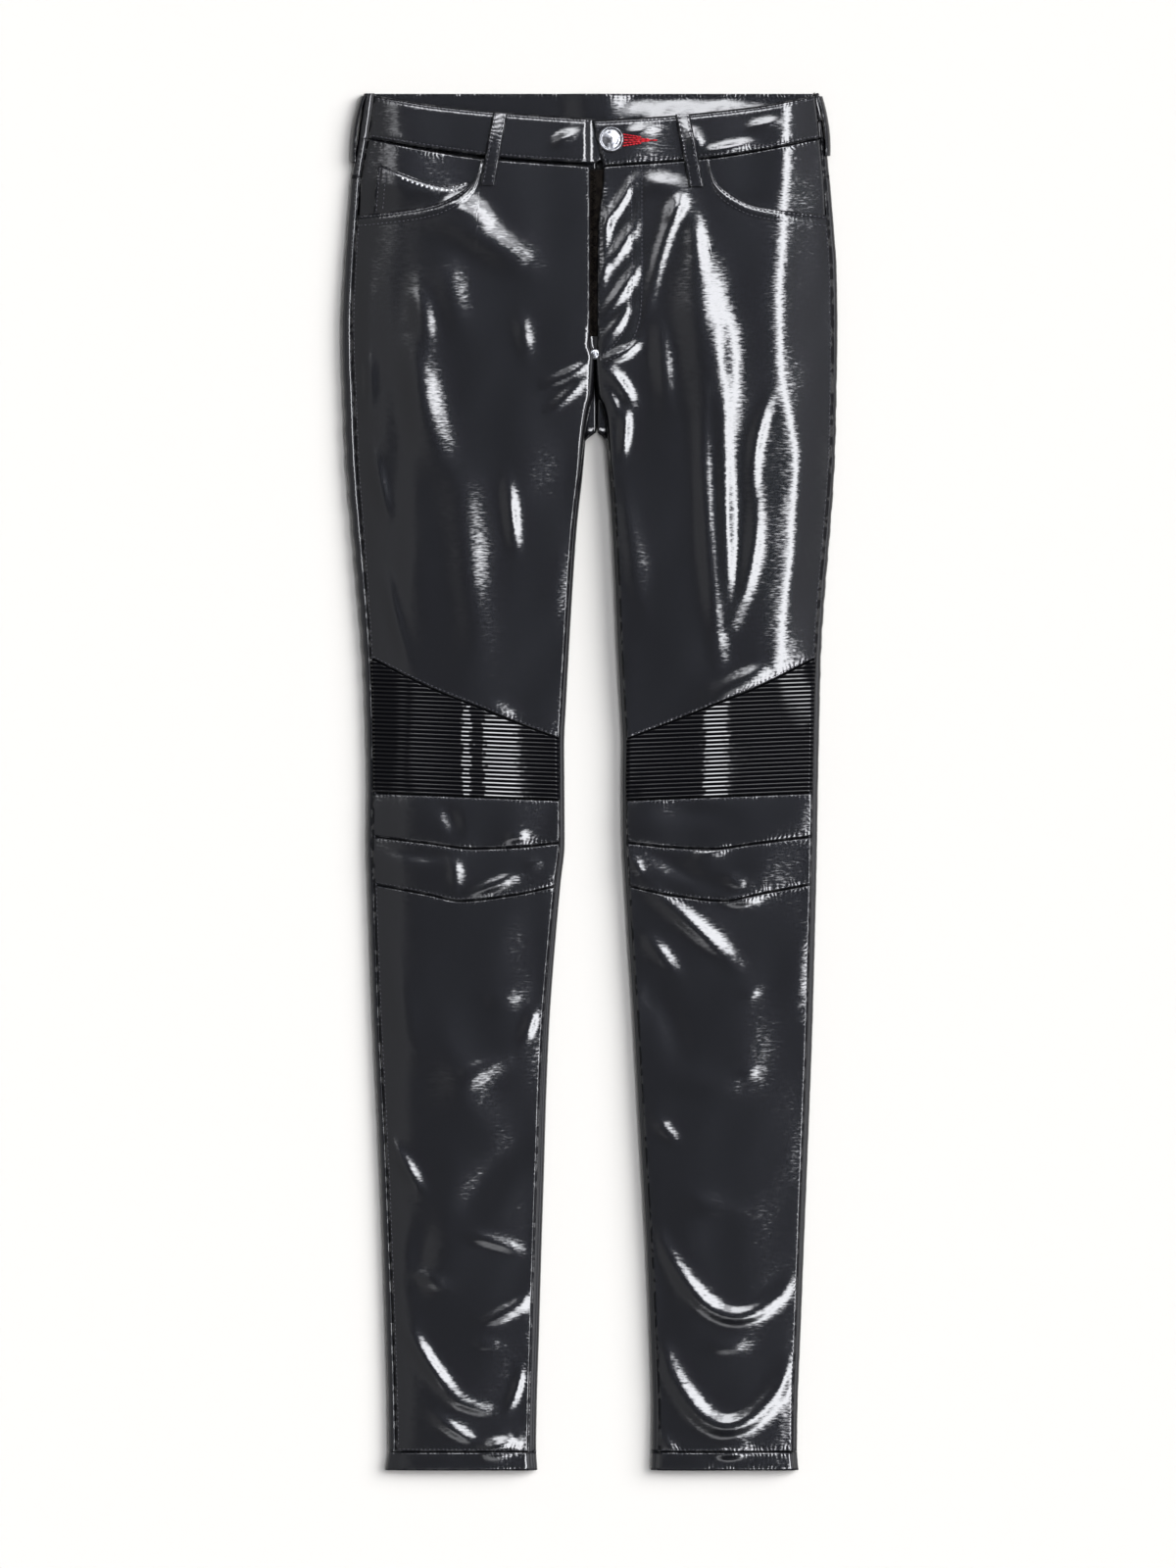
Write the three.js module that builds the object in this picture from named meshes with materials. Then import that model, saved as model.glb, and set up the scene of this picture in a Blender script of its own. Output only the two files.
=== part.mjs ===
// High-gloss leather trousers, laid out flat on their back.
//
// Millimetres, +Z up. X runs across the garment, +Y towards the waist. The origin is the middle of
// the box on the surface that the trousers lie on. "down" is the distance below the waist's top
// edge, and "left" and "right" are the sides as they are seen from above.
//
// Every panel is a wall of cloth on one pair of surfaces: the upper face, a height worked out from
// the outline, the loft and the folds, and the under face, flat on the surface with a roll at
// both edges that brings it up to the side seams and inseams.

import * as THREE from 'three';

const LENGTH = 1040;
const CENTRE_BACK = 5.5;
const PANEL_WALL = 1.4;
const BAND_WALL = 2.4;
const BAND_RAISE = 0.8;
const HEM_WALL = 2.0;
const COIN_POCKET_WALL = 1.0;
const LAYER_GAP = 0.3;
const SEAM_HALF_GAP = 0.17;

const CROTCH_DOWN = 260;
const HEM_TOP_DOWN = 1026;
const BACK_BAND_HEIGHT = 37;
const YOKE_SIDE_DOWN = 63;
const YOKE_CENTRE_DOWN = 92;

const FLY_END_DOWN = 196;
const POCKET_INNER_SHARE = 0.52;
const POCKET_FACING_TUCK = 12;
const RIB_PITCH = 3.05;
const RIB_RAISE = 0.75;
const LOOP_WIDTH = 11;
const LOOP_WALL = 1.6;
const BUTTON_DIAMETER = 19.5;
const BUTTON_HEIGHT = 3.4;
const RIVET_DIAMETER = 8.4;
const RIVET_HEIGHT = 2.2;
const KNEE_BAND_PUFF = 0.9;
const BAND_LAP_RAISE = 1.3;
const SEAT_LIFT = 2.6;

// Levels over which one form of the cross-section passes into the next.
const HIPS_TO_LEGS = { from: 165, to: CROTCH_DOWN };
const INNER_ROLL_STARTS = { from: 205, to: 245 };
const SEAT_CURVES = { from: 225, to: CROTCH_DOWN - 2 };

const LEATHER = { color: '#0b0b0d', roughness: 0.16, metalness: 0 };
const SILVER = { color: '#b8babd', roughness: 0.28, metalness: 1 };
const ANTIQUE_BRASS = { color: '#5d4c33', roughness: 0.42, metalness: 0.9 };

// Where the outline runs at each level. Above the crotch the inner values are the front edges at
// the fly and at the centre seam, and below it they are the inner sides of the legs.
const OUTLINE = [
  { down: 0, leftOuter: -170.5, leftInner: 0.4, rightInner: 10.6, rightOuter: 173.5 },
  { down: 36, leftOuter: -175.5, leftInner: 0.4, rightInner: 10.5, rightOuter: 178.5 },
  { down: 63, leftOuter: -180, leftInner: 0.4, rightInner: 10.3, rightOuter: 181.5 },
  { down: 98, leftOuter: -183, leftInner: 0.4, rightInner: 6.6, rightOuter: 184.5 },
  { down: 134, leftOuter: -185.6, leftInner: 0.4, rightInner: 5.9, rightOuter: 187 },
  { down: 178, leftOuter: -187.6, leftInner: 0.4, rightInner: 5.8, rightOuter: 187.6 },
  { down: 190, leftOuter: -187.5, leftInner: 0.5, rightInner: 5.7, rightOuter: 187.5 },
  { down: 200, leftOuter: -187.4, leftInner: 3.7, rightInner: 4.3, rightOuter: 187.4 },
  { down: 228, leftOuter: -186.4, leftInner: 3.2, rightInner: 5.2, rightOuter: 187 },
  { down: 236, leftOuter: -186.2, leftInner: 1.2, rightInner: 9, rightOuter: 186.9 },
  { down: 248, leftOuter: -185.8, leftInner: -1, rightInner: 11.6, rightOuter: 186.7 },
  { down: 260, leftOuter: -185.4, leftInner: -2.6, rightInner: 12.4, rightOuter: 186.4 },
  { down: 285, leftOuter: -184, leftInner: -4.8, rightInner: 14, rightOuter: 185.4 },
  { down: 329, leftOuter: -180, leftInner: -9.5, rightInner: 17, rightOuter: 182.4 },
  { down: 374, leftOuter: -176, leftInner: -12.6, rightInner: 19.2, rightOuter: 178.6 },
  { down: 418, leftOuter: -172.2, leftInner: -15.2, rightInner: 21, rightOuter: 175.6 },
  { down: 462, leftOuter: -169.6, leftInner: -17.6, rightInner: 23.3, rightOuter: 174.2 },
  { down: 492, leftOuter: -168.6, leftInner: -19, rightInner: 24.8, rightOuter: 173.5 },
  { down: 522, leftOuter: -168.1, leftInner: -18.8, rightInner: 24.5, rightOuter: 172.9 },
  { down: 566, leftOuter: -168.5, leftInner: -18.6, rightInner: 25, rightOuter: 172.2 },
  { down: 596, leftOuter: -167.6, leftInner: -21.6, rightInner: 26.6, rightOuter: 171.6 },
  { down: 640, leftOuter: -166, leftInner: -25.6, rightInner: 29.2, rightOuter: 170.5 },
  { down: 699, leftOuter: -163.8, leftInner: -30, rightInner: 33, rightOuter: 168.9 },
  { down: 758, leftOuter: -161, leftInner: -32.6, rightInner: 36.2, rightOuter: 166.8 },
  { down: 818, leftOuter: -158.2, leftInner: -34.4, rightInner: 39.7, rightOuter: 164.4 },
  { down: 877, leftOuter: -156, leftInner: -36.3, rightInner: 43, rightOuter: 162 },
  { down: 936, leftOuter: -154.1, leftInner: -38, rightInner: 45.5, rightOuter: 159.7 },
  { down: 995, leftOuter: -152.5, leftInner: -39.8, rightInner: 47.3, rightOuter: 157.4 },
  { down: 1024, leftOuter: -152.2, leftInner: -40.2, rightInner: 47, rightOuter: 157 },
  { down: 1040, leftOuter: -154.2, leftInner: -39.3, rightInner: 46.3, rightOuter: 158 },
];

// How far the side seams and inseams lie in from the outline, on the upper face.
const SEAM_INSET = [
  { down: 0, leftOuter: 8, leftInner: 0.7, rightInner: 0.7, rightOuter: 2.8 },
  { down: 98, leftOuter: 7, leftInner: 0.7, rightInner: 0.7, rightOuter: 4.2 },
  { down: 262, leftOuter: 8.5, leftInner: 0.9, rightInner: 0.9, rightOuter: 3.6 },
  { down: 310, leftOuter: 8, leftInner: 3, rightInner: 3, rightOuter: 3.9 },
  { down: 418, leftOuter: 6, leftInner: 3.2, rightInner: 3, rightOuter: 4.4 },
  { down: 530, leftOuter: 4.4, leftInner: 3.6, rightInner: 3, rightOuter: 4.4 },
  { down: 760, leftOuter: 5, leftInner: 5.4, rightInner: 3.6, rightOuter: 4.4 },
  { down: 936, leftOuter: 5.6, leftInner: 5.8, rightInner: 4.6, rightOuter: 3.8 },
  { down: 1040, leftOuter: 6, leftInner: 5.8, rightInner: 5.8, rightOuter: 3.2 },
];

// Height of the rolled edge, and of the crown midway across.
const LOFT = [
  { down: 0, edge: 7, crown: 13 },
  { down: 36, edge: 7.4, crown: 15 },
  { down: 98, edge: 8.4, crown: 18 },
  { down: 178, edge: 9, crown: 20 },
  { down: 260, edge: 9, crown: 19 },
  { down: 374, edge: 9, crown: 18 },
  { down: 492, edge: 8.4, crown: 15.5 },
  { down: 640, edge: 8, crown: 14 },
  { down: 877, edge: 8, crown: 13 },
  { down: 1040, edge: 8, crown: 12 },
];

// Seams that cross a panel: share 0 is the side seam, 1 the inner edge.
const FRONT_BAND_TOP = [
  { share: 0, down: 1.7 }, { share: 0.22, down: 9 }, { share: 0.5, down: 14.8 },
  { share: 0.75, down: 18.5 }, { share: 1, down: 21 },
];
const FRONT_BAND_SEAM = [
  { share: 0, down: 34 }, { share: 0.24, down: 42 }, { share: 0.53, down: 49.4 },
  { share: 1, down: 55.4 },
];
const POCKET_EDGE = [
  { share: 0, down: 92 }, { share: 0.2, down: 88.6 }, { share: 0.33, down: 84.4 },
  { share: 0.43, down: 76 }, { share: 0.495, down: 66 }, { share: 0.52, down: 55 },
];
const OBLIQUE_SEAM = [
  { share: 0, down: 426.5 }, { share: 0.32, down: 450 }, { share: 0.53, down: 462 },
  { share: 0.75, down: 474.5 }, { share: 1, down: 487.8 },
];
const RIB_SEAM = [
  { share: 0, down: 528.2 }, { share: 0.5, down: 531.1 }, { share: 1, down: 533.8 },
];
const KNEE_SEAM = [
  { share: 0, down: 561.3 }, { share: 0.3, down: 566.5 }, { share: 0.54, down: 570.5 },
  { share: 0.76, down: 569.5 }, { share: 1, down: 566 },
];
const SHIN_SEAM = [
  { share: 0, down: 597.5 }, { share: 0.3, down: 605.2 }, { share: 0.48, down: 610 },
  { share: 0.78, down: 605.4 }, { share: 1, down: 599 },
];

// The largest folds of the upper face. Each is a soft ridge on a curve from one [x, down] over a
// second to a third, and a negative rise is a trough.
const FOLDS = [
  { from: [-97, 80], via: [-72, 102], to: [-49, 130], width: 11, rise: 2 },
  { from: [-140, 100], via: [-145, 262], to: [-146, 415], width: 10, rise: -1.3 },
  { from: [-134, 185], via: [-122, 235], to: [-90, 305], width: 14, rise: 2.4 },
  { from: [-56, 288], via: [-56, 320], to: [-54, 350], width: 7, rise: 1.3 },
  { from: [-1, 204], via: [-14, 216], to: [-34, 222], width: 6, rise: 1.3 },
  { from: [76, 76], via: [68, 112], to: [43, 154], width: 10, rise: 1.8 },
  { from: [86, 140], via: [89, 186], to: [95, 230], width: 15, rise: 2.3 },
  { from: [95, 226], via: [98, 305], to: [99, 378], width: 9, rise: 1.6 },
  { from: [112, 226], via: [114, 322], to: [102, 420], width: 10, rise: 1.9 },
  { from: [136, 96], via: [146, 164], to: [144, 230], width: 11, rise: 1.8 },
  { from: [143, 230], via: [122, 286], to: [130, 338], width: 11, rise: 1.7 },
  { from: [139, 440], via: [118, 449], to: [99, 459], width: 8, rise: 1.6 },
  { from: [8, 206], via: [28, 200], to: [48, 188], width: 6, rise: 1.3 },
  { from: [33, 238], via: [33, 254], to: [29, 274], width: 7, rise: 1.3 },
  { from: [-57, 725], via: [-82, 738], to: [-110, 737], width: 10, rise: 1.7 },
  { from: [-104, 780], via: [-130, 802], to: [-150, 828], width: 12, rise: 2 },
  { from: [-42, 846], via: [-62, 866], to: [-92, 878], width: 11, rise: 1.8 },
  { from: [-88, 924], via: [-116, 950], to: [-142, 982], width: 14, rise: 2.3 },
  { from: [-66, 990], via: [-98, 1006], to: [-122, 1018], width: 9, rise: 1.6 },
  { from: [47, 652], via: [80, 634], to: [108, 606], width: 10, rise: 1.6 },
  { from: [52, 864], via: [99, 965], to: [153, 899], width: 10, rise: 2.2 },
  { from: [54, 951], via: [99, 1060], to: [153, 963], width: 11, rise: 2.3 },
];
const FOLD_SAMPLES = 10;
const FOLD_EDGE_FADE = 16;

const SIDES = {
  left: { outer: 'leftOuter', inner: 'leftInner', outward: -1 },
  right: { outer: 'rightOuter', inner: 'rightInner', outward: 1 },
};

const mix = THREE.MathUtils.lerp;
const clamp01 = (value) => THREE.MathUtils.clamp(value, 0, 1);
const smooth = (from, to, value) => THREE.MathUtils.smoothstep(value, from, to);
const over = ({ from, to }, value) => smooth(from, to, value);

function steps(count) {
  return Array.from({ length: count + 1 }, (_, index) => index / count);
}

// A smooth curve through a table's rows that never swings past them.
function curveThrough(rows, key, value) {
  const at = rows.map((row) => row[key]);
  const of = rows.map((row) => row[value]);
  const slope = at.slice(1).map((x, i) => (of[i + 1] - of[i]) / (x - at[i]));
  const tangent = at.map((_, i) => {
    if (i === 0) return slope[0];
    if (i === at.length - 1) return slope[i - 1];
    const product = slope[i - 1] * slope[i];
    return product <= 0 ? 0 : (2 * product) / (slope[i - 1] + slope[i]);
  });
  return (x) => {
    let i = 0;
    while (i < at.length - 2 && x > at[i + 1]) i += 1;
    const span = at[i + 1] - at[i];
    const t = clamp01((x - at[i]) / span);
    const s = 1 - t;
    return of[i] * s * s * (1 + 2 * t) + of[i + 1] * t * t * (3 - 2 * t)
      + span * t * s * (tangent[i] * s - tangent[i + 1] * t);
  };
}

function curvesOf(rows) {
  const names = Object.keys(rows[0]).filter((name) => name !== 'down');
  return Object.fromEntries(names.map((name) => [name, curveThrough(rows, 'down', name)]));
}

const outline = curvesOf(OUTLINE);
const seamInset = curvesOf(SEAM_INSET);
const loft = curvesOf(LOFT);
const seamAt = (rows) => curveThrough(rows, 'share', 'down');
const frontBandTop = seamAt(FRONT_BAND_TOP);
const frontBandSeam = seamAt(FRONT_BAND_SEAM);
const pocketEdge = seamAt(POCKET_EDGE);
const obliqueSeam = seamAt(OBLIQUE_SEAM);
const ribSeam = seamAt(RIB_SEAM);
const kneeSeam = seamAt(KNEE_SEAM);
const shinSeam = seamAt(SHIN_SEAM);

// The pocket's opening cuts the outer part of the thigh's upper edge.
function thighTop(share) {
  return share < POCKET_INNER_SHARE ? pocketEdge(share) : frontBandSeam(share);
}

// Soft ridges and troughs

const foldPaths = FOLDS.map((fold) => {
  const [from, via, to] = [fold.from, fold.via, fold.to].map((p) => new THREE.Vector2(...p));
  return new THREE.QuadraticBezierCurve(from, via, to).getPoints(FOLD_SAMPLES);
});

function foldHeight(x, down) {
  const here = new THREE.Vector2(x, down);
  return FOLDS.reduce((total, fold, index) => {
    const path = foldPaths[index];
    let nearest = Infinity;
    let along = 0;
    for (let k = 0; k < FOLD_SAMPLES; k += 1) {
      const step = path[k + 1].clone().sub(path[k]);
      const t = clamp01(here.clone().sub(path[k]).dot(step) / step.lengthSq());
      const distance = here.distanceTo(path[k].clone().addScaledVector(step, t));
      if (distance < nearest) {
        nearest = distance;
        along = (k + t) / FOLD_SAMPLES;
      }
    }
    const swell = Math.sin(Math.PI * clamp01(0.08 + 0.84 * along));
    return total + fold.rise * swell * Math.exp(-((nearest / fold.width) ** 2));
  }, 0);
}

// The upper face

function rollRise(inset, radius) {
  const short = Math.max(0, radius - inset);
  return Math.sqrt(Math.max(0, radius * radius - short * short));
}

function upperHeight(sideName, x, down) {
  const side = SIDES[sideName];
  const outer = outline[side.outer](down);
  const inner = outline[side.inner](down);
  const edge = loft.edge(down);
  const rise = loft.crown(down) - edge;
  const outerInset = Math.max(0, (outer - x) * side.outward);
  const innerInset = Math.max(0, (x - inner) * side.outward);
  const legShare = over(HIPS_TO_LEGS, down);
  const innerRoll = over(INNER_ROLL_STARTS, down);

  const acrossLeg = (2 * x - outer - inner) / (outer - inner);
  const acrossHips = (x - CENTRE_BACK / 2) / (outer - CENTRE_BACK / 2);
  const legCrown = Math.max(0, 1 - acrossLeg ** 2);
  const hipCrown = Math.max(0, 1 - acrossHips ** 2);
  const rolls = rollRise(outerInset, edge / 2)
    + mix(edge / 2, rollRise(innerInset, edge / 2), innerRoll);
  const fade = smooth(0, FOLD_EDGE_FADE, outerInset)
    * mix(1, smooth(0, FOLD_EDGE_FADE, innerInset), innerRoll);
  return rolls + rise * mix(hipCrown, legCrown, legShare) + fade * foldHeight(x, down);
}

// A point of the upper face with the cloth's outward direction there, within the cross-section.
function upperPoint(sideName, x, down, raise = 0) {
  const reach = 0.25;
  const ahead = upperHeight(sideName, x + reach, down);
  const behind = upperHeight(sideName, x - reach, down);
  const normal = new THREE.Vector3((behind - ahead) / (2 * reach), 0, 1).normalize();
  const height = upperHeight(sideName, x, down) + raise;
  return { point: new THREE.Vector3(x, LENGTH / 2 - down, height), normal };
}

function outerSeamX(sideName, down) {
  const side = SIDES[sideName];
  return outline[side.outer](down) - side.outward * seamInset[side.outer](down);
}

function innerSeamX(sideName, down) {
  const side = SIDES[sideName];
  const below = smooth(CROTCH_DOWN - 30, CROTCH_DOWN, down);
  return outline[side.inner](down) + side.outward * seamInset[side.inner](down) * below;
}

// x at a share of the front from the side seam to the inner edge, clear of both seams.
function frontX(sideName, share, down) {
  const outward = SIDES[sideName].outward;
  const outer = outerSeamX(sideName, down) - outward * SEAM_HALF_GAP;
  const inner = innerSeamX(sideName, down) + outward * SEAM_HALF_GAP;
  return mix(outer, inner, share);
}

// The under face

// The back is lifted over the loop at its centre, and along the curve of the seat.
const LOOP_EASE_ACROSS = { from: LOOP_WIDTH / 2 + 1, to: LOOP_WIDTH / 2 + 24 };
const LOOP_EASE_DOWN = { from: 60, to: 84 };
const SEAT_EASE_ACROSS = { from: 6, to: 24 };

function underLift(x, down) {
  const across = 1 - over(LOOP_EASE_ACROSS, Math.abs(x - CENTRE_BACK));
  return (LOOP_WALL + LAYER_GAP) * across * (1 - over(LOOP_EASE_DOWN, down));
}

function seatLift(x, down) {
  const across = 1 - over(SEAT_EASE_ACROSS, Math.abs(x - CENTRE_BACK));
  return SEAT_LIFT * across * over(SEAT_CURVES, down);
}

function underPoint(x, down) {
  const height = underLift(x, down) + seatLift(x, down);
  return {
    point: new THREE.Vector3(x, LENGTH / 2 - down, height),
    normal: new THREE.Vector3(0, 0, -1),
  };
}

// A point on the roll at one edge. The angle is 90 degrees on top, 0 at the outline, -90 below.
function rollPoint(sideName, edgeName, degrees, down, raise = 0) {
  const side = SIDES[sideName];
  const sign = edgeName === 'outer' ? side.outward : -side.outward;
  const radius = (loft.edge(down) + raise) / 2;
  const angle = THREE.MathUtils.degToRad(degrees);
  const normal = new THREE.Vector3(sign * Math.cos(angle), 0, Math.sin(angle));
  const centre = outline[side[edgeName]](down) - sign * radius;
  const point = new THREE.Vector3(centre, LENGTH / 2 - down, radius).addScaledVector(normal, radius);
  return { point, normal };
}

function seamAngle(sideName, edgeName, down) {
  const radius = loft.edge(down) / 2;
  const inset = seamInset[SIDES[sideName][edgeName]](down);
  const cosine = clamp01((radius - inset) / radius);
  return THREE.MathUtils.radToDeg(Math.acos(cosine));
}

// Columns of the back from the side seam round the outer roll, below, and up to the inner edge.
const OUTER_ROLL = [0.72, 0.3, -0.15, -0.58, -1];
const FLAT_SHARES = [0.33, 0.66];
const INNER_ROLL = [-1, -0.55, -0.1, 0.35, 0.75];
const CENTRE_STEPS = [24, 17, 11, 7, 3];
const BACK_COLUMNS = 1 + OUTER_ROLL.length + FLAT_SHARES.length + INNER_ROLL.length + 1;

function outerRollColumn(sideName, index, down, raise = 0) {
  const outward = SIDES[sideName].outward;
  if (index === 0) {
    const x = outerSeamX(sideName, down) + outward * SEAM_HALF_GAP;
    return upperPoint(sideName, x, down, raise);
  }
  const turn = OUTER_ROLL[index - 1];
  const span = turn > 0 ? seamAngle(sideName, 'outer', down) : 90;
  return rollPoint(sideName, 'outer', turn * span, down, raise);
}

function blend(first, second, share) {
  return {
    point: first.point.clone().lerp(second.point, share),
    normal: first.normal.clone().lerp(second.normal, share).normalize(),
  };
}

function innerColumn(sideName, index, down) {
  const outward = SIDES[sideName].outward;
  const onEdge = index === INNER_ROLL.length;
  const fromCentre = onEdge ? SEAM_HALF_GAP : CENTRE_STEPS[index];
  const seat = underPoint(CENTRE_BACK + outward * fromCentre, down);
  const round = smooth(CROTCH_DOWN - 5, CROTCH_DOWN + 3, down);
  if (round === 0) return seat;
  const inseam = innerSeamX(sideName, down) - outward * SEAM_HALF_GAP;
  const turn = INNER_ROLL[index];
  const span = turn > 0 ? seamAngle(sideName, 'inner', down) : 90;
  const leg = onEdge
    ? upperPoint(sideName, inseam, down)
    : rollPoint(sideName, 'inner', turn * span, down);
  return blend(seat, leg, round);
}

function backPoint(sideName, column, down) {
  const flatFrom = 1 + OUTER_ROLL.length;
  const innerFrom = flatFrom + FLAT_SHARES.length;
  if (column < flatFrom) return outerRollColumn(sideName, column, down);
  if (column >= innerFrom) return innerColumn(sideName, column - innerFrom, down);
  const outerFoot = outerRollColumn(sideName, OUTER_ROLL.length, down).point.x;
  const innerFoot = innerColumn(sideName, 0, down).point.x;
  return underPoint(mix(outerFoot, innerFoot, FLAT_SHARES[column - flatFrom]), down);
}

// Walls of cloth

// A closed solid between an outer grid of points and an inner one. With closedAcross, the last
// column joins the first, as on a tube.
function wallGeometry(outer, inner, closedAcross = false) {
  const rowCount = outer.length;
  const columnCount = outer[0].length;
  const positions = [...outer.flat(), ...inner.flat()].flatMap((p) => p.toArray());
  const index = [];
  const outerAt = (i, j) => i * columnCount + (j % columnCount);
  const innerAt = (i, j) => rowCount * columnCount + outerAt(i, j);
  const quad = (a, b, c, d) => index.push(a, b, c, a, c, d);
  const lastColumn = closedAcross ? columnCount : columnCount - 1;
  for (let i = 0; i < rowCount - 1; i += 1) {
    for (let j = 0; j < lastColumn; j += 1) {
      quad(outerAt(i, j), outerAt(i + 1, j), outerAt(i + 1, j + 1), outerAt(i, j + 1));
      quad(innerAt(i, j), innerAt(i, j + 1), innerAt(i + 1, j + 1), innerAt(i + 1, j));
    }
    if (!closedAcross) {
      const j = columnCount - 1;
      quad(outerAt(i, 0), innerAt(i, 0), innerAt(i + 1, 0), outerAt(i + 1, 0));
      quad(outerAt(i, j), outerAt(i + 1, j), innerAt(i + 1, j), innerAt(i, j));
    }
  }
  for (let j = 0; j < lastColumn; j += 1) {
    const i = rowCount - 1;
    quad(outerAt(0, j), outerAt(0, j + 1), innerAt(0, j + 1), innerAt(0, j));
    quad(outerAt(i, j), innerAt(i, j), innerAt(i, j + 1), outerAt(i, j + 1));
  }
  const geometry = new THREE.BufferGeometry();
  geometry.setAttribute('position', new THREE.Float32BufferAttribute(positions, 3));
  geometry.setIndex(facesOutward(positions, index) ? index : reversed(index));
  return geometry;
}

function facesOutward(positions, index) {
  const corner = (i) => new THREE.Vector3().fromArray(positions, 3 * i);
  let volume = 0;
  for (let k = 0; k < index.length; k += 3) {
    volume += corner(index[k]).dot(corner(index[k + 1]).cross(corner(index[k + 2])));
  }
  return volume > 0;
}

function reversed(index) {
  const turned = [];
  for (let k = 0; k < index.length; k += 3) turned.push(index[k], index[k + 2], index[k + 1]);
  return turned;
}

// A wall under a grid of surface points, each thickened against its own outward direction.
function wallUnder(grid, wall, closedAcross = false) {
  const outer = grid.map((row) => row.map(({ point }) => point));
  const inner = grid.map((row) => row.map(({ point, normal }) => (
    point.clone().addScaledVector(normal, -wall)
  )));
  return wallGeometry(outer, inner, closedAcross);
}

const trousers = new THREE.Group();
trousers.name = 'leather_trousers';

function addPiece(name, geometry, look) {
  geometry.computeVertexNormals();
  const mesh = new THREE.Mesh(geometry, new THREE.MeshStandardMaterial(look));
  mesh.name = name;
  trousers.add(mesh);
}

// Front panels

// A front panel between two crossing seams, with a share list across and one down.
function frontPanel(sideName, upper, lower, shares, levels, puff = 0) {
  const grid = levels.map((level) => shares.map((share) => {
    const down = mix(upper(share) + SEAM_HALF_GAP, lower(share) - SEAM_HALF_GAP, level);
    const raise = puff * 4 * level * (1 - level);
    return upperPoint(sideName, frontX(sideName, share, down), down, raise);
  }));
  return wallUnder(grid, PANEL_WALL);
}

// Levels between two downs, from 0 to 1. A table gives the step below each down.
function levelsBetween(top, bottom, rowSteps, lastStep) {
  const downs = [top];
  while (downs.at(-1) < bottom - lastStep) {
    const last = downs.at(-1);
    downs.push(last + rowSteps.findLast((row) => last > row.below).step);
  }
  return [...downs, bottom].map((down) => (down - top) / (bottom - top));
}

// Rows are closer together round the crotch, where the inner edge turns, and at the knee.
const THIGH_ROWS = [{ below: 0, step: 17 }, { below: 190, step: 8.5 }, { below: 285, step: 17 }];
const THIGH_LAST_STEP = 24;
const BACK_ROWS = [
  { below: 0, step: 27 }, { below: 228, step: 5.5 }, { below: 268, step: 27 },
  { below: 530, step: 16 }, { below: 605, step: 44 },
];
const BACK_LAST_STEP = 60;

const THIGH_SHARES = [0, 0.1, 0.2, 0.3, 0.38, 0.44, 0.495, 0.52, 0.6, 0.7, 0.8, 0.9, 1];

function addThigh(sideName) {
  const lower = (share) => obliqueSeam(share) - 0.03;
  const levels = levelsBetween(thighTop(1), obliqueSeam(1), THIGH_ROWS, THIGH_LAST_STEP);
  const geometry = frontPanel(sideName, thighTop, lower, THIGH_SHARES, levels);
  addPiece(`front_thigh_${sideName}`, geometry, LEATHER);
}

// Where a row of the ribs, at a height above its lower seam, runs out on the oblique seam.
function ribRowEnd(above) {
  const clear = (share) => ribSeam(share) - above - obliqueSeam(share) - 0.2;
  if (clear(1) > 0) return 1;
  let low = 0;
  let high = 1;
  for (let pass = 0; pass < 24; pass += 1) {
    const middle = (low + high) / 2;
    if (clear(middle) > 0) low = middle;
    else high = middle;
  }
  return low;
}

function addKneeRibs(sideName) {
  const grid = [];
  const plain = [];
  for (let k = 0; ; k += 1) {
    const above = SEAM_HALF_GAP + (k * RIB_PITCH) / 2;
    const end = ribRowEnd(above);
    if (end < 0.04) break;
    const raise = k % 2 === 1 ? RIB_RAISE : 0;
    const row = steps(4).map((step) => {
      const share = step * end;
      const down = ribSeam(share) - above;
      return upperPoint(sideName, frontX(sideName, share, down), down);
    });
    plain.push(row.map(({ point, normal }) => point.clone().addScaledVector(normal, -PANEL_WALL)));
    grid.push(row.map(({ point, normal }) => point.clone().addScaledVector(normal, raise)));
  }
  addPiece(`knee_ribs_${sideName}`, wallGeometry(grid, plain), LEATHER);
}

function addKneeBands(sideName) {
  const shares = steps(8);
  const upper = frontPanel(sideName, ribSeam, kneeSeam, shares, steps(4), KNEE_BAND_PUFF);
  const lower = frontPanel(sideName, kneeSeam, shinSeam, shares, steps(4), KNEE_BAND_PUFF);
  addPiece(`knee_band_upper_${sideName}`, upper, LEATHER);
  addPiece(`knee_band_lower_${sideName}`, lower, LEATHER);
}

function addShin(sideName) {
  const geometry = frontPanel(sideName, shinSeam, () => HEM_TOP_DOWN, steps(8), steps(22));
  addPiece(`shin_${sideName}`, geometry, LEATHER);
}

// The back of each leg, its yoke and its hem

function yokeSeam(column) {
  const across = clamp01((column - 3) / (BACK_COLUMNS - 4));
  return mix(YOKE_SIDE_DOWN, YOKE_CENTRE_DOWN, across);
}

function backBandSeam(column) {
  const across = clamp01(column / 5);
  return mix(frontBandSeam(0), BACK_BAND_HEIGHT, across);
}

function backGrid(sideName, upper, lower, levels) {
  return levels.map((level) => Array.from({ length: BACK_COLUMNS }, (_, column) => {
    const down = mix(upper(column) + SEAM_HALF_GAP, lower(column) - SEAM_HALF_GAP, level);
    return backPoint(sideName, column, down);
  }));
}

function addYoke(sideName) {
  const geometry = wallUnder(backGrid(sideName, backBandSeam, yokeSeam, steps(4)), PANEL_WALL);
  addPiece(`back_yoke_${sideName}`, geometry, LEATHER);
}

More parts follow.
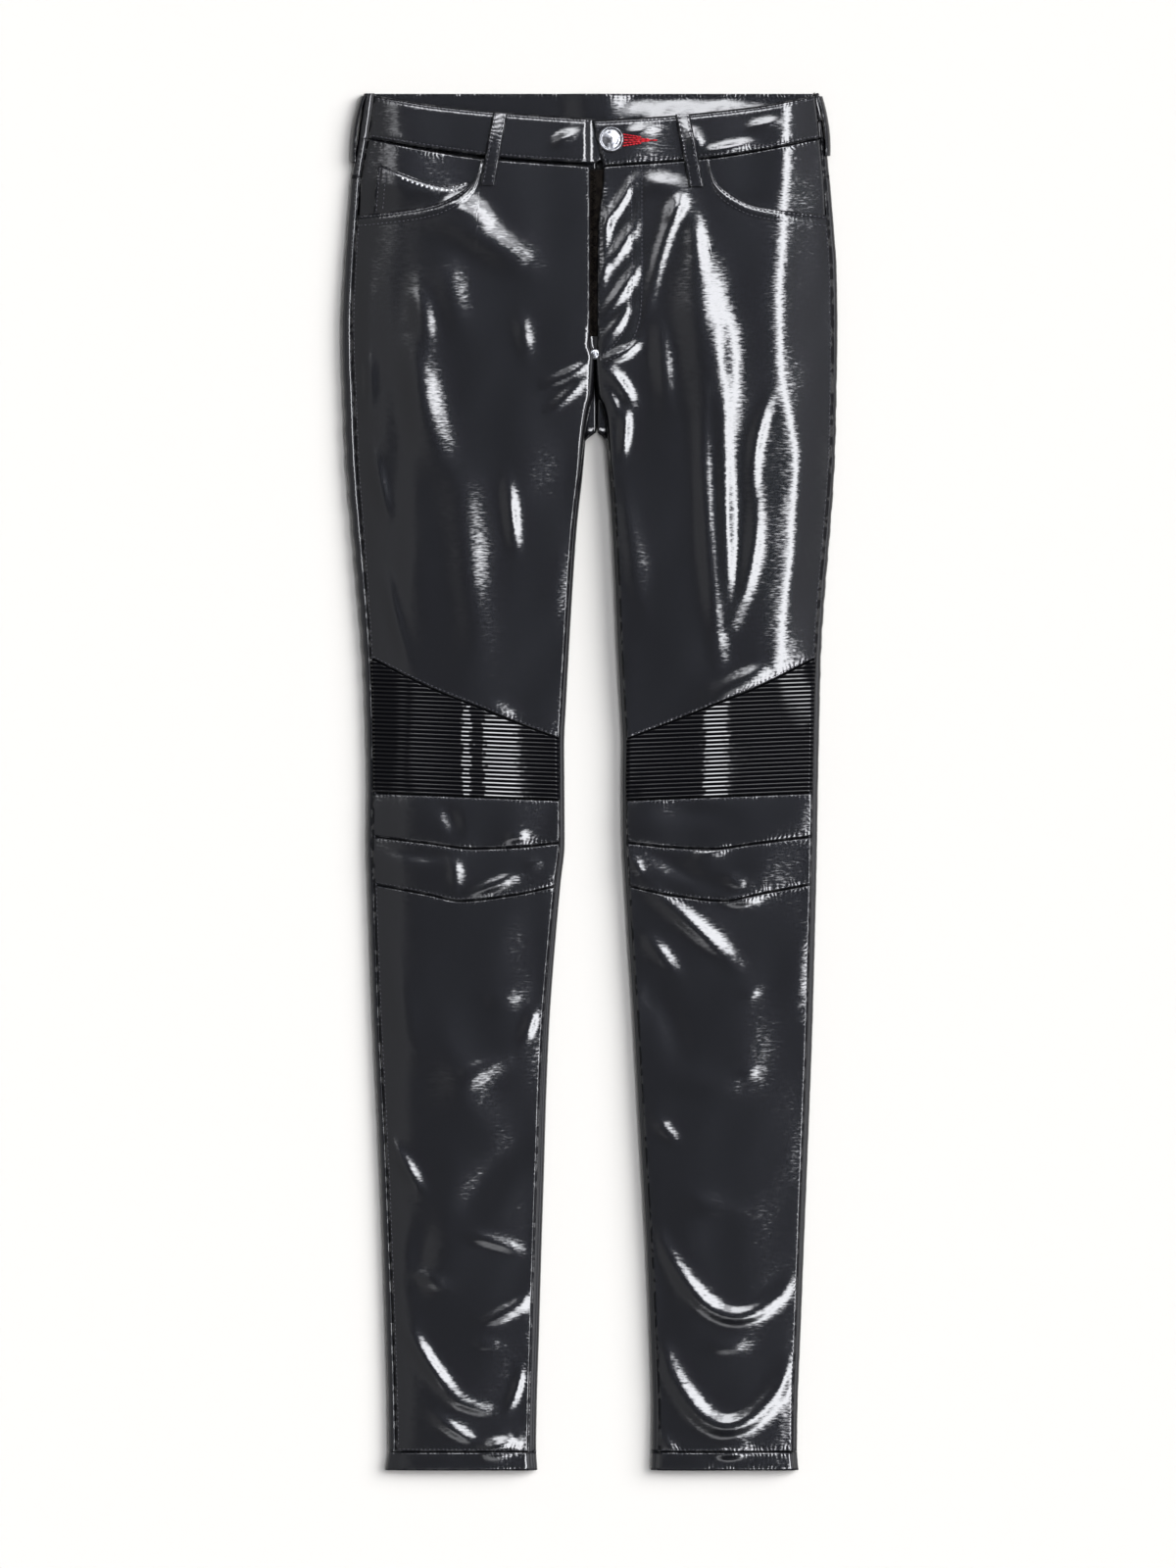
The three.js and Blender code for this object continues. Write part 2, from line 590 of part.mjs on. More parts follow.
function addBackLeg(sideName) {
  const levels = levelsBetween(YOKE_CENTRE_DOWN, HEM_TOP_DOWN, BACK_ROWS, BACK_LAST_STEP);
  const grid = backGrid(sideName, yokeSeam, () => HEM_TOP_DOWN, levels);
  addPiece(`back_leg_${sideName}`, wallUnder(grid, PANEL_WALL), LEATHER);
}

function addHem(sideName) {
  const ring = (down) => {
    const back = Array.from({ length: BACK_COLUMNS }, (_, column) => (
      backPoint(sideName, column, down)
    ));
    const front = steps(8).slice(1, -1).map((share) => (
      upperPoint(sideName, frontX(sideName, 1 - share, down), down)
    ));
    return [...back, ...front];
  };
  const downs = steps(3).map((level) => mix(HEM_TOP_DOWN + SEAM_HALF_GAP, LENGTH, level));
  addPiece(`hem_${sideName}`, wallUnder(downs.map(ring), HEM_WALL, true), LEATHER);
}

// Pockets

// The facing lies level with the band at its top and drops under the thigh panel at the opening.
const FACING_EASE_DOWN = { from: 0, to: 26 };
const FACING_EASE_SHARE = { from: 0.38, to: 0.45 };
const FACING_CLEARANCE = 0.1;

function facingDrop(sideName, share, down) {
  const layers = sideName === 'left' ? COIN_POCKET_WALL + LAYER_GAP : 0;
  const full = PANEL_WALL + LAYER_GAP + layers + FACING_CLEARANCE;
  const nearOpening = 1 - over(FACING_EASE_DOWN, pocketEdge(share) - down);
  return full * Math.max(nearOpening, over(FACING_EASE_SHARE, share));
}

const FACING_SHARES = [0, 0.07, 0.15, 0.23, 0.3, 0.36, 0.42, 0.46, 0.49, 0.52, 0.57];

function addPocketFacing(sideName) {
  const lower = (share) => thighTop(share) + POCKET_FACING_TUCK;
  const grid = steps(5).map((level) => FACING_SHARES.map((share) => {
    const down = mix(frontBandSeam(share) + SEAM_HALF_GAP, lower(share), level);
    const drop = facingDrop(sideName, share, down);
    return upperPoint(sideName, frontX(sideName, share, down), down, -drop);
  }));
  addPiece(`pocket_facing_${sideName}`, wallUnder(grid, PANEL_WALL), LEATHER);
}

const COIN_POCKET_TOP = [
  { share: 0.07, down: 54 }, { share: 0.4, down: 70 }, { share: 0.48, down: 66 },
];

function addCoinPocket() {
  const top = seamAt(COIN_POCKET_TOP);
  const shares = [0.07, 0.13, 0.2, 0.27, 0.34, 0.4, 0.44, 0.475];
  const grid = steps(6).map((level) => shares.map((share) => {
    const down = mix(top(share), pocketEdge(share) + POCKET_FACING_TUCK - 4, level);
    const lift = LAYER_GAP + COIN_POCKET_WALL - facingDrop('left', share, down);
    return upperPoint('left', frontX('left', share, down), down, lift);
  }));
  addPiece('coin_pocket', wallUnder(grid, COIN_POCKET_WALL), LEATHER);
}

// Waistband: the right end lies on top of the left at the fly

const BAND_END_X = { left: 34, right: { top: 1.9, bottom: 10.4 } };
const BAND_LAP_ENDS = { from: 26, to: 68 };
const BAND_UNDERLAP_SINKS = { from: -9, to: 1 };
const BAND_UNDERLAP_TUCK = { inset: 3, from: 2, to: 12 };

function bandEndX(sideName, level) {
  const end = BAND_END_X[sideName];
  return sideName === 'left' ? end : mix(end.top, end.bottom, level);
}

function bandRaise(sideName, x) {
  if (sideName === 'right') {
    return BAND_RAISE + BAND_LAP_RAISE * (1 - over(BAND_LAP_ENDS, x));
  }
  const stackBelow = BAND_WALL + LAYER_GAP + 0.1 - BAND_LAP_RAISE;
  return BAND_RAISE - stackBelow * over(BAND_UNDERLAP_SINKS, x);
}

function addFrontBand(sideName) {
  const outward = SIDES[sideName].outward;
  const shares = [...steps(12).map((share) => share * 0.93), 0.965, 1];
  const grid = steps(4).map((level) => shares.map((share) => {
    const across = outerSeamX(sideName, frontBandTop(share)) - outward * SEAM_HALF_GAP;
    const tuck = sideName === 'left'
      ? BAND_UNDERLAP_TUCK.inset * over(BAND_UNDERLAP_TUCK, mix(across, BAND_END_X.left, share))
      : 0;
    const lower = frontBandSeam(share) - SEAM_HALF_GAP - tuck;
    const down = mix(frontBandTop(share) + tuck, lower, level);
    const outer = outerSeamX(sideName, down) - outward * SEAM_HALF_GAP;
    const x = mix(outer, bandEndX(sideName, level), share);
    const surface = x * outward > 0 ? sideName : sideName === 'left' ? 'right' : 'left';
    return upperPoint(surface, x, down, bandRaise(sideName, x));
  }));
  addPiece(`waistband_${sideName}`, wallUnder(grid, BAND_WALL), LEATHER);
}

const BAND_FLAT_OFFSETS = [-150, -100, -60, -30, -18, -7, 7, 18, 30, 60, 100, 145];

function addBackBand() {
  const rollColumns = [0, ...OUTER_ROLL.map((_, index) => index + 1)];
  const grid = steps(3).map((level) => {
    const downAt = (column) => mix(0, backBandSeam(column) - SEAM_HALF_GAP, level);
    const roll = (sideName) => rollColumns.map((column) => (
      outerRollColumn(sideName, column, downAt(column), BAND_RAISE)
    ));
    const [left, right] = ['left', 'right'].map(roll);
    const below = BAND_FLAT_OFFSETS.map((offset) => (
      underPoint(CENTRE_BACK + offset, downAt(BACK_COLUMNS))
    ));
    return [...left, ...below, ...right.reverse()];
  });
  addPiece('waistband_back', wallUnder(grid, BAND_WALL), LEATHER);
}

// Belt loops

const FRONT_LOOPS = [
  { name: 'belt_loop_front_left', top: [-67.4, 15.6], bottom: [-77, 70] },
  { name: 'belt_loop_front_right', top: [70.3, 16.4], bottom: [80.6, 71] },
];
const SIDE_LOOPS = [
  { name: 'belt_loop_side_left', side: 'left', from: 2, to: 52, bow: 2.9 },
  { name: 'belt_loop_side_right', side: 'right', from: 2, to: 47, bow: 1.9 },
];
const BACK_LOOP = { from: 1, to: 56 };
const LOOP_LEAVES_BAND = { from: 52, to: 58 };
const LOOP_BOW = 1.3;
const LOOP_ROUNDING = 0.35;
const SIDE_LOOP_ANGLES = { top: 70, bottom: -34 };

function addFrontLoop({ name, top, bottom }) {
  const sideName = top[0] < 0 ? 'left' : 'right';
  const grid = steps(10).map((level) => steps(4).map((across) => {
    const down = mix(top[1], bottom[1], level);
    const x = mix(top[0], bottom[0], level) + (across - 0.5) * LOOP_WIDTH;
    const overBand = BAND_RAISE * (1 - over(LOOP_LEAVES_BAND, down));
    const bow = LOOP_BOW * Math.sin(Math.PI * level);
    const rounded = LOOP_ROUNDING * (1 - (2 * across - 1) ** 4);
    const lift = overBand + bow + rounded + 2 * LAYER_GAP + LOOP_WALL;
    return upperPoint(sideName, x, down, lift);
  }));
  addPiece(name, wallUnder(grid, LOOP_WALL), LEATHER);
}

function addSideLoop({ name, side: sideName, from, to, bow }) {
  const outward = SIDES[sideName].outward;
  const grid = steps(10).map((level) => steps(5).map((turn) => {
    const down = mix(from, to, level);
    const degrees = mix(SIDE_LOOP_ANGLES.top, SIDE_LOOP_ANGLES.bottom, turn);
    const { point, normal } = rollPoint(sideName, 'outer', degrees, down, BAND_RAISE);
    const away = bow * Math.sin(Math.PI * level) ** 0.8;
    point.addScaledVector(normal, LAYER_GAP + LOOP_WALL).setX(point.x + outward * away);
    return { point, normal };
  }));
  addPiece(name, wallUnder(grid, LOOP_WALL), LEATHER);
}

function addBackLoop() {
  const geometry = new THREE.BoxGeometry(LOOP_WIDTH, BACK_LOOP.to - BACK_LOOP.from, LOOP_WALL);
  const middle = (BACK_LOOP.from + BACK_LOOP.to) / 2;
  geometry.translate(CENTRE_BACK, LENGTH / 2 - middle, LOOP_WALL / 2);
  addPiece('belt_loop_back', geometry, LEATHER);
}

// Fly, fastened: a toothed strip on a shield, seen in the gap between the two fronts

const ZIP = { from: 57, to: FLY_END_DOWN - 11, left: -3, right: 12, wall: 0.8 };
const TEETH = { x: 3, width: 3, raise: 1 };
const SHIELD = { from: 57, to: FLY_END_DOWN, left: -15, right: 27, wall: 1.2 };

function flyStrip({ from, to, left, right, wall }, xs, drop, ridge) {
  const grid = steps(8).map((level) => xs.map((share) => {
    const x = mix(left, right, share);
    const down = mix(from, to, level);
    const sideName = x < CENTRE_BACK ? 'left' : 'right';
    return upperPoint(sideName, x, down, ridge(x) - drop);
  }));
  return wallUnder(grid, wall);
}

function addFly() {
  const zipDrop = PANEL_WALL + 2 * LAYER_GAP;
  const ridge = (x) => (Math.abs(x - TEETH.x) < TEETH.width / 2 ? TEETH.raise : 0);
  const zipShares = [0, 0.28, 0.32, 0.4, 0.48, 0.52, 0.75, 1];
  addPiece('fly_zip', flyStrip(ZIP, zipShares, zipDrop, ridge), ANTIQUE_BRASS);
  const shieldDrop = zipDrop + ZIP.wall + LAYER_GAP;
  addPiece('fly_shield', flyStrip(SHIELD, steps(4), shieldDrop, () => 0), LEATHER);
}

// Button and rivet

const BUTTON_AT = { x: 16.3, down: 35.2 };
const RIVET_AT = { x: 4, down: 197.4 };

// A flat back, a rolled rim and a shallow dome, turned about the upright axis.
function domedDisc(diameter, height) {
  const radius = diameter / 2;
  const profile = [
    [0, 0], [radius * 0.94, 0], [radius, height * 0.22], [radius * 0.98, height * 0.5],
    [radius * 0.84, height * 0.74], [radius * 0.5, height * 0.93], [0, height],
  ];
  return new THREE.LatheGeometry(profile.map((p) => new THREE.Vector2(...p)), 20)
    .rotateX(Math.PI / 2);
}

// The highest point of a surface under a disc, so that the disc rests on it.
function seatHeight({ x, down }, diameter, raise) {
  const around = steps(12).map((turn) => turn * 2 * Math.PI);
  const heights = around.map((angle) => {
    const px = x + (Math.cos(angle) * diameter) / 2;
    const pd = down + (Math.sin(angle) * diameter) / 2;
    return upperHeight(px < CENTRE_BACK ? 'left' : 'right', px, pd) + raise(px);
  });
  return Math.max(...heights, upperHeight('right', x, down) + raise(x));
}

function addStud(name, at, diameter, height, raise) {
  const geometry = domedDisc(diameter, height);
  geometry.translate(at.x, LENGTH / 2 - at.down, seatHeight(at, diameter, raise) + LAYER_GAP);
  addPiece(name, geometry, SILVER);
}

for (const sideName of ['left', 'right']) {
  addThigh(sideName);
  addKneeRibs(sideName);
  addKneeBands(sideName);
  addShin(sideName);
  addHem(sideName);
  addBackLeg(sideName);
  addYoke(sideName);
  addPocketFacing(sideName);
  addFrontBand(sideName);
}
addCoinPocket();
addBackBand();
FRONT_LOOPS.forEach(addFrontLoop);
SIDE_LOOPS.forEach(addSideLoop);
addBackLoop();
addFly();
addStud('waist_button', BUTTON_AT, BUTTON_DIAMETER, BUTTON_HEIGHT, (x) => bandRaise('right', x));
addStud('fly_rivet', RIVET_AT, RIVET_DIAMETER, RIVET_HEIGHT, () => 0);

export default trousers;
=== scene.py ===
"""High-gloss leather trousers laid flat on their back: the cloth, its sewing and its metal.

Sizes are millimetres until a mesh is written, in metres. X runs across, +Y towards the waist, Z up.
"down", or a level, is a distance below the waist's top edge. Left and right are as seen from above.
"""

from __future__ import annotations

import logging
import math
from dataclasses import dataclass, field
from enum import Enum
from typing import Any, Callable, NamedTuple, Sequence

import bmesh
import bpy
import numpy as np
from mathutils import Matrix, Vector

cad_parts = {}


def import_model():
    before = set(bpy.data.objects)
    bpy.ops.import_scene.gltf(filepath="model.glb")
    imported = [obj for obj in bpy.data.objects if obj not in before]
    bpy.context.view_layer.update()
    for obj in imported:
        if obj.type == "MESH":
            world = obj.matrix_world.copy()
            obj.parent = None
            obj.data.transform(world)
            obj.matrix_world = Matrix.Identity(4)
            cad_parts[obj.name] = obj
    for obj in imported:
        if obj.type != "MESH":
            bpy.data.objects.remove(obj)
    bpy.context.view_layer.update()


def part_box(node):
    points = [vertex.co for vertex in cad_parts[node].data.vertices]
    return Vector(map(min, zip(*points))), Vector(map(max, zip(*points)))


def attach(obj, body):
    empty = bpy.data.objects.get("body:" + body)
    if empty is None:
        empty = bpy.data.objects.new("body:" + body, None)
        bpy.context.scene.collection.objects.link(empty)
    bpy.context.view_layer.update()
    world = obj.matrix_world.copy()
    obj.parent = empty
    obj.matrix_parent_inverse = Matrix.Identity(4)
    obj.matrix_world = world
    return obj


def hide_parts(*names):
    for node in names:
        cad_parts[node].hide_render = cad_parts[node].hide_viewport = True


LOG = logging.getLogger("trousers")
Array = np.ndarray
Node = bpy.types.Node
Socket = bpy.types.NodeSocket
Material = bpy.types.Material
Mesh = bpy.types.Mesh
Piece = bpy.types.Object
Inputs = dict[str, Any] | Sequence[Any]
MM = 0.001
TAU = 2 * math.pi


class Side(Enum):
    """A side of the garment as seen from above, with the sign of x on it."""

    LEFT = -1
    RIGHT = 1

    @property
    def word(self) -> str:
        """The side's word in piece names."""
        return self.name.lower()


class Edge(Enum):
    """Which edge of a leg a roll runs along."""

    OUTER = "outer"
    INNER = "inner"


class OutlineRow(NamedTuple):
    """Where the outline runs at one level, in x."""

    down: float
    left_outer: float
    left_inner: float
    right_inner: float
    right_outer: float


class LoftRow(NamedTuple):
    """Height of the rolled edge and of the crown at one level."""

    down: float
    edge: float
    crown: float


class Fold(NamedTuple):
    """A soft ridge (or trough, when the rise is negative) along a bent line."""

    start: tuple[float, float]
    bend: tuple[float, float]
    end: tuple[float, float]
    width: float
    rise: float


OUTLINE = tuple(OutlineRow(*row) for row in (
    (0, -170.5, 0.4, 10.6, 173.5),
    (36, -175.5, 0.4, 10.5, 178.5),
    (63, -180, 0.4, 10.3, 181.5),
    (98, -183, 0.4, 6.6, 184.5),
    (134, -185.6, 0.4, 5.9, 187),
    (178, -187.6, 0.4, 5.8, 187.6),
    (190, -187.5, 0.5, 5.7, 187.5),
    (200, -187.4, 3.7, 4.3, 187.4),
    (228, -186.4, 3.2, 5.2, 187),
    (236, -186.2, 1.2, 9, 186.9),
    (248, -185.8, -1, 11.6, 186.7),
    (260, -185.4, -2.6, 12.4, 186.4),
    (285, -184, -4.8, 14, 185.4),
    (329, -180, -9.5, 17, 182.4),
    (374, -176, -12.6, 19.2, 178.6),
    (418, -172.2, -15.2, 21, 175.6),
    (462, -169.6, -17.6, 23.3, 174.2),
    (492, -168.6, -19, 24.8, 173.5),
    (522, -168.1, -18.8, 24.5, 172.9),
    (566, -168.5, -18.6, 25, 172.2),
    (596, -167.6, -21.6, 26.6, 171.6),
    (640, -166, -25.6, 29.2, 170.5),
    (699, -163.8, -30, 33, 168.9),
    (758, -161, -32.6, 36.2, 166.8),
    (818, -158.2, -34.4, 39.7, 164.4),
    (877, -156, -36.3, 43, 162),
    (936, -154.1, -38, 45.5, 159.7),
    (995, -152.5, -39.8, 47.3, 157.4),
    (1024, -152.2, -40.2, 47, 157),
    (1040, -154.2, -39.3, 46.3, 158),
))

SEAM_INSET = tuple(OutlineRow(*row) for row in (
    (0, 8, 0.7, 0.7, 2.8),
    (98, 7, 0.7, 0.7, 4.2),
    (262, 8.5, 0.9, 0.9, 3.6),
    (310, 8, 3, 3, 3.9),
    (418, 6, 3.2, 3, 4.4),
    (530, 4.4, 3.6, 3, 4.4),
    (760, 5, 5.4, 3.6, 4.4),
    (936, 5.6, 5.8, 4.6, 3.8),
    (1040, 6, 5.8, 5.8, 3.2),
))

LOFT = tuple(LoftRow(*row) for row in (
    (0, 7, 13),
    (36, 7.4, 15),
    (98, 8.4, 18),
    (178, 9, 20),
    (260, 9, 19),
    (374, 9, 18),
    (492, 8.4, 15.5),
    (640, 8, 14),
    (877, 8, 13),
    (1040, 8, 12),
))

# Seams that cross a panel, as (share across from the side seam, down).
FRONT_BAND_TOP = ((0, 1.7), (0.22, 9), (0.5, 14.8), (0.75, 18.5), (1, 21))
FRONT_BAND_SEAM = ((0, 34), (0.24, 42), (0.53, 49.4), (1, 55.4))
POCKET_EDGE = ((0, 92), (0.2, 88.6), (0.33, 84.4), (0.43, 76), (0.495, 66), (0.52, 55))
OBLIQUE_SEAM = ((0, 426.5), (0.32, 450), (0.53, 462), (0.75, 474.5), (1, 487.8))
RIB_SEAM = ((0, 528.2), (0.5, 531.1), (1, 533.8))
KNEE_SEAM = ((0, 561.3), (0.3, 566.5), (0.54, 570.5), (0.76, 569.5), (1, 566))
SHIN_SEAM = ((0, 597.5), (0.3, 605.2), (0.48, 610), (0.78, 605.4), (1, 599))
COIN_POCKET_TOP = ((0.07, 54), (0.4, 70), (0.48, 66))

# The cords of the knee panel, which its folds and its lacquer share.
CORD_PITCH = 3.15
CORD_START = 4.0

# Rows of stitches along the pocket's opening, by their distance from it.
POCKET_ROWS = (1.9, 8.3)

# Folds that the eye meets first, from the waist down, left leg and then right.
FOLDS = tuple(Fold(*row) for row in (
    ((-28, 39), (-20, 35), (-9, 31), 4, 1.0),
    ((28, 31), (40, 29), (50, 27), 3.5, 0.7),
    ((88, 45), (106, 42), (124, 38), 3.5, 0.8),
    ((120, 27), (131, 24), (142, 22), 3.5, 0.7),
    ((74, 28), (79, 35), (85, 42), 5, 1.0),
    ((40, 68), (55, 70), (72, 72), 7, 0.9),
    ((-120, 92), (-84, 107), (-46, 131), 11, 2.4),
    ((-114, 82), (-94, 84), (-72, 104), 9, 2.0),
    ((-140, 100), (-145, 262), (-146, 415), 10, -1.3),
    ((-137, 180), (-132, 226), (-106, 292), 13, 1.95),
    ((-129, 146), (-126, 168), (-122, 190), 8, 1.25),
    ((-108, 128), (-106, 150), (-98, 178), 11, 1.2),
    ((-52, 168), (-50, 182), (-47, 200), 6, 0.9),
    ((-62, 290), (-60, 318), (-56, 346), 5, 1.15),
    ((-98, 296), (-92, 360), (-84, 420), 13, 1.2),
    ((-164, 266), (-160, 292), (-152, 320), 5, 1.25),
    ((-153, 364), (-148, 395), (-138, 428), 5, 1.25),
    ((-168, 196), (-164, 216), (-168, 244), 5, 1.1),
    ((-80, 464), (-70, 467), (-56, 471), 6, 1.1),
    ((-1, 204), (-14, 214), (-34, 220), 4, 1.5),
    ((-2, 214), (-16, 228), (-30, 240), 4, 1.1),
    ((14, 76), (12, 110), (9, 150), 4, 0.8),
    ((34, 64), (22, 86), (9, 104), 4, 1.1),
    ((36, 96), (24, 118), (8, 138), 5, 1.2),
    ((36, 130), (26, 150), (10, 168), 5, 1.3),
    ((30, 160), (20, 178), (9, 188), 4, 0.9),
    ((68, 82), (54, 110), (43, 168), 5, 1.0),
    ((70, 76), (66, 86), (62, 100), 8, 1.5),
    ((78, 86), (79, 112), (82, 140), 7, 1.1),
    ((80, 120), (84, 180), (91, 248), 17, 3.2),
    ((98, 166), (100, 200), (103, 250), 9, 0.9),
    ((52, 170), (55, 200), (58, 234), 7, 1.25),
    ((85, 226), (86, 330), (98, 430), 7, 1.5),
    ((100, 236), (102, 330), (105, 400), 7, 1.45),
    ((137, 226), (121, 262), (123, 300), 5, 1.0),
    ((123, 294), (131, 340), (108, 402), 6, 1.15),
    ((136, 434), (116, 444), (90, 455), 8, 2.0),
    ((10, 202), (24, 200), (38, 188), 4, 1.6),
    ((9, 208), (22, 216), (32, 234), 5, 1.7),
    ((10, 220), (16, 230), (22, 246), 4, 1.0),
    ((27, 238), (27, 254), (24, 276), 4, 1.05),
    ((22, 300), (34, 350), (40, 400), 9, 0.7),
    ((-46, 562), (-55, 560), (-64, 564), 4.5, 1.0),
    ((-112, 540), (-100, 548), (-102, 560), 6, -0.9),
    ((-90, 604), (-72, 598), (-54, 590), 4.5, 1.3),
    ((-36, 578), (-42, 583), (-50, 586), 5, 0.6),
    ((-104, 578), (-100, 588), (-102, 600), 5, 0.8),
    ((-150, 570), (-128, 578), (-104, 574), 6, -0.9),
    ((78, 574), (88, 576), (104, 571), 4.5, 1.1),
    ((40, 572), (64, 584), (98, 600), 7, -1.1),
    ((44, 546), (74, 540), (110, 548), 7, -0.8),
    ((102, 590), (108, 596), (118, 598), 5, 0.8),
    ((28, 576), (34, 582), (40, 590), 4, 1.0),
    ((98, 607), (114, 613), (130, 605), 4.5, 1.25),
    ((-80, 684), (-68, 686), (-54, 680), 7, 0.8),
    ((-50, 716), (-46, 704), (-41, 692), 4.5, 0.9),
    ((-98, 742), (-84, 740), (-66, 730), 8, 0.85),
    ((-152, 788), (-142, 806), (-126, 830), 5.5, 1.6),
    ((-44, 790), (-72, 812), (-96, 850), 12, -1.1),
    ((-92, 862), (-72, 866), (-52, 874), 4.5, 1.15),
    ((-120, 852), (-134, 876), (-126, 920), 10, -1.2),
    ((-134, 888), (-124, 896), (-108, 900), 6, 1.05),
    ((-82, 928), (-62, 922), (-45, 908), 5.5, 1.55),
    ((-88, 945), (-78, 944), (-68, 945), 4, 0.75),
    ((-136, 934), (-124, 960), (-100, 986), 6, 1.85),
    ((-106, 984), (-92, 992), (-72, 995), 4.5, 1.2),
    ((-52, 962), (-53, 980), (-64, 996), 3.5, 0.8),
    ((-118, 998), (-104, 1009), (-84, 1019), 4.5, 1.25),
    ((-80, 1023), (-66, 1022), (-50, 1019), 5, 1.1),
    ((44, 600), (70, 620), (110, 658), 6.5, 1.85),
    ((42, 636), (52, 648), (66, 664), 5.5, 1.15),
    ((40, 672), (64, 690), (70, 730), 12, -0.9),
    ((115, 681), (121, 680), (128, 678), 3.5, 0.6),
    ((112, 740), (120, 740), (128, 738), 3.5, 0.6),
    ((50, 776), (57, 782), (66, 792), 4.5, 0.95),
    ((72, 832), (94, 846), (122, 842), 8, 0.9),
    ((52, 862), (99, 964), (153, 897), 6, 2.0),
    ((90, 946), (104, 948), (120, 944), 5, 0.9),
    ((54, 949), (99, 1058), (153, 961), 7.5, 2.5),
    ((94, 1027), (104, 1028), (116, 1026), 4, 1.0),
    ((52, 1014), (58, 1020), (66, 1026), 4, 0.8),
    ((-166, 130), (-168, 180), (-166, 240), 6, 0.7),
    ((-99, 742), (-78, 737), (-56, 728), 9, 0.6),
    ((-150, 640), (-146, 690), (-128, 730), 10, 0.7),
    ((-118, 700), (-92, 760), (-66, 800), 16, 0.9),
    ((-84, 1027), (-70, 1023), (-56, 1015), 9, 1.5),
    ((98, 1026), (110, 1022), (124, 1024), 7, 0.7),
    ((62, 742), (92, 752), (116, 748), 11, 0.9),
))
FOLD_SAMPLES = 14
FOLD_EDGE_FADE = 14.0
FOLD_REACH = 2.6


@dataclass(frozen=True)
class SmoothCurve:
    """A curve through points that never swings past them."""

    points: tuple[tuple[float, float], ...]

    def __call__(self, x: Array | float) -> Array:
        """Evaluate the curve.

        Args:
            x: Where to evaluate it.

        Returns:
            The curve's values, held flat past both ends.
        """
        at, of = (np.array(axis, float) for axis in zip(*self.points))
        slope = np.diff(of) / np.diff(at)
        product = slope[:-1] * slope[1:]
        total = slope[:-1] + slope[1:]
        inner = np.where(product > 0, 2 * product / np.where(total == 0, 1, total), 0)
        tangent = np.concatenate(([slope[0]], inner, [slope[-1]]))
        x = np.asarray(x, float)
        i = np.clip(np.searchsorted(at, x, side="right") - 1, 0, len(at) - 2)
        span = at[i + 1] - at[i]
        t = np.clip((x - at[i]) / span, 0, 1)
        s = 1 - t
        ends = of[i] * s * s * (1 + 2 * t) + of[i + 1] * t * t * (3 - 2 * t)
        return ends + span * t * s * (tangent[i] * s - tangent[i + 1] * t)


def smooth(start: float, end: float, value: Array | float) -> Array:
    """Rise smoothly from 0 at start to 1 at end."""
    t = np.clip((np.asarray(value, float) - start) / (end - start), 0, 1)
    return t * t * (3 - 2 * t)


def blend(first: Array | float, second: Array | float, share: Array | float) -> Array:
    """Mix two values, from the first at share 0 to the second at share 1."""
    return first + (second - first) * share


@dataclass(frozen=True)
class SlowWaves:
    """Gentle unevenness of laid-out cloth, a sum of a few slanted waves.

    The waves are chosen by a seeded generator, so every run gives the same cloth.
    """

    seed: int = 7
    count: int = 9
    shortest: float = 34.0
    longest: float = 120.0
    rise: float = 0.13

    def __call__(self, x: Array, down: Array) -> Array:
        """Height of the unevenness at points of the cloth.

        Args:
            x: Places across.
            down: Levels.

        Returns:
            The heights.
        """
        chance = np.random.default_rng(self.seed)
        total = np.zeros(np.broadcast(x, down).shape)
        for _ in range(self.count):
            length = chance.uniform(self.shortest, self.longest)
            lean = chance.uniform(-0.9, 0.9)
            phase = chance.uniform(0, TAU)
            along = (x * math.cos(lean) + down * math.sin(lean)) * TAU / length
            total = total + self.rise * (length / self.longest) * np.sin(along + phase)
        return total


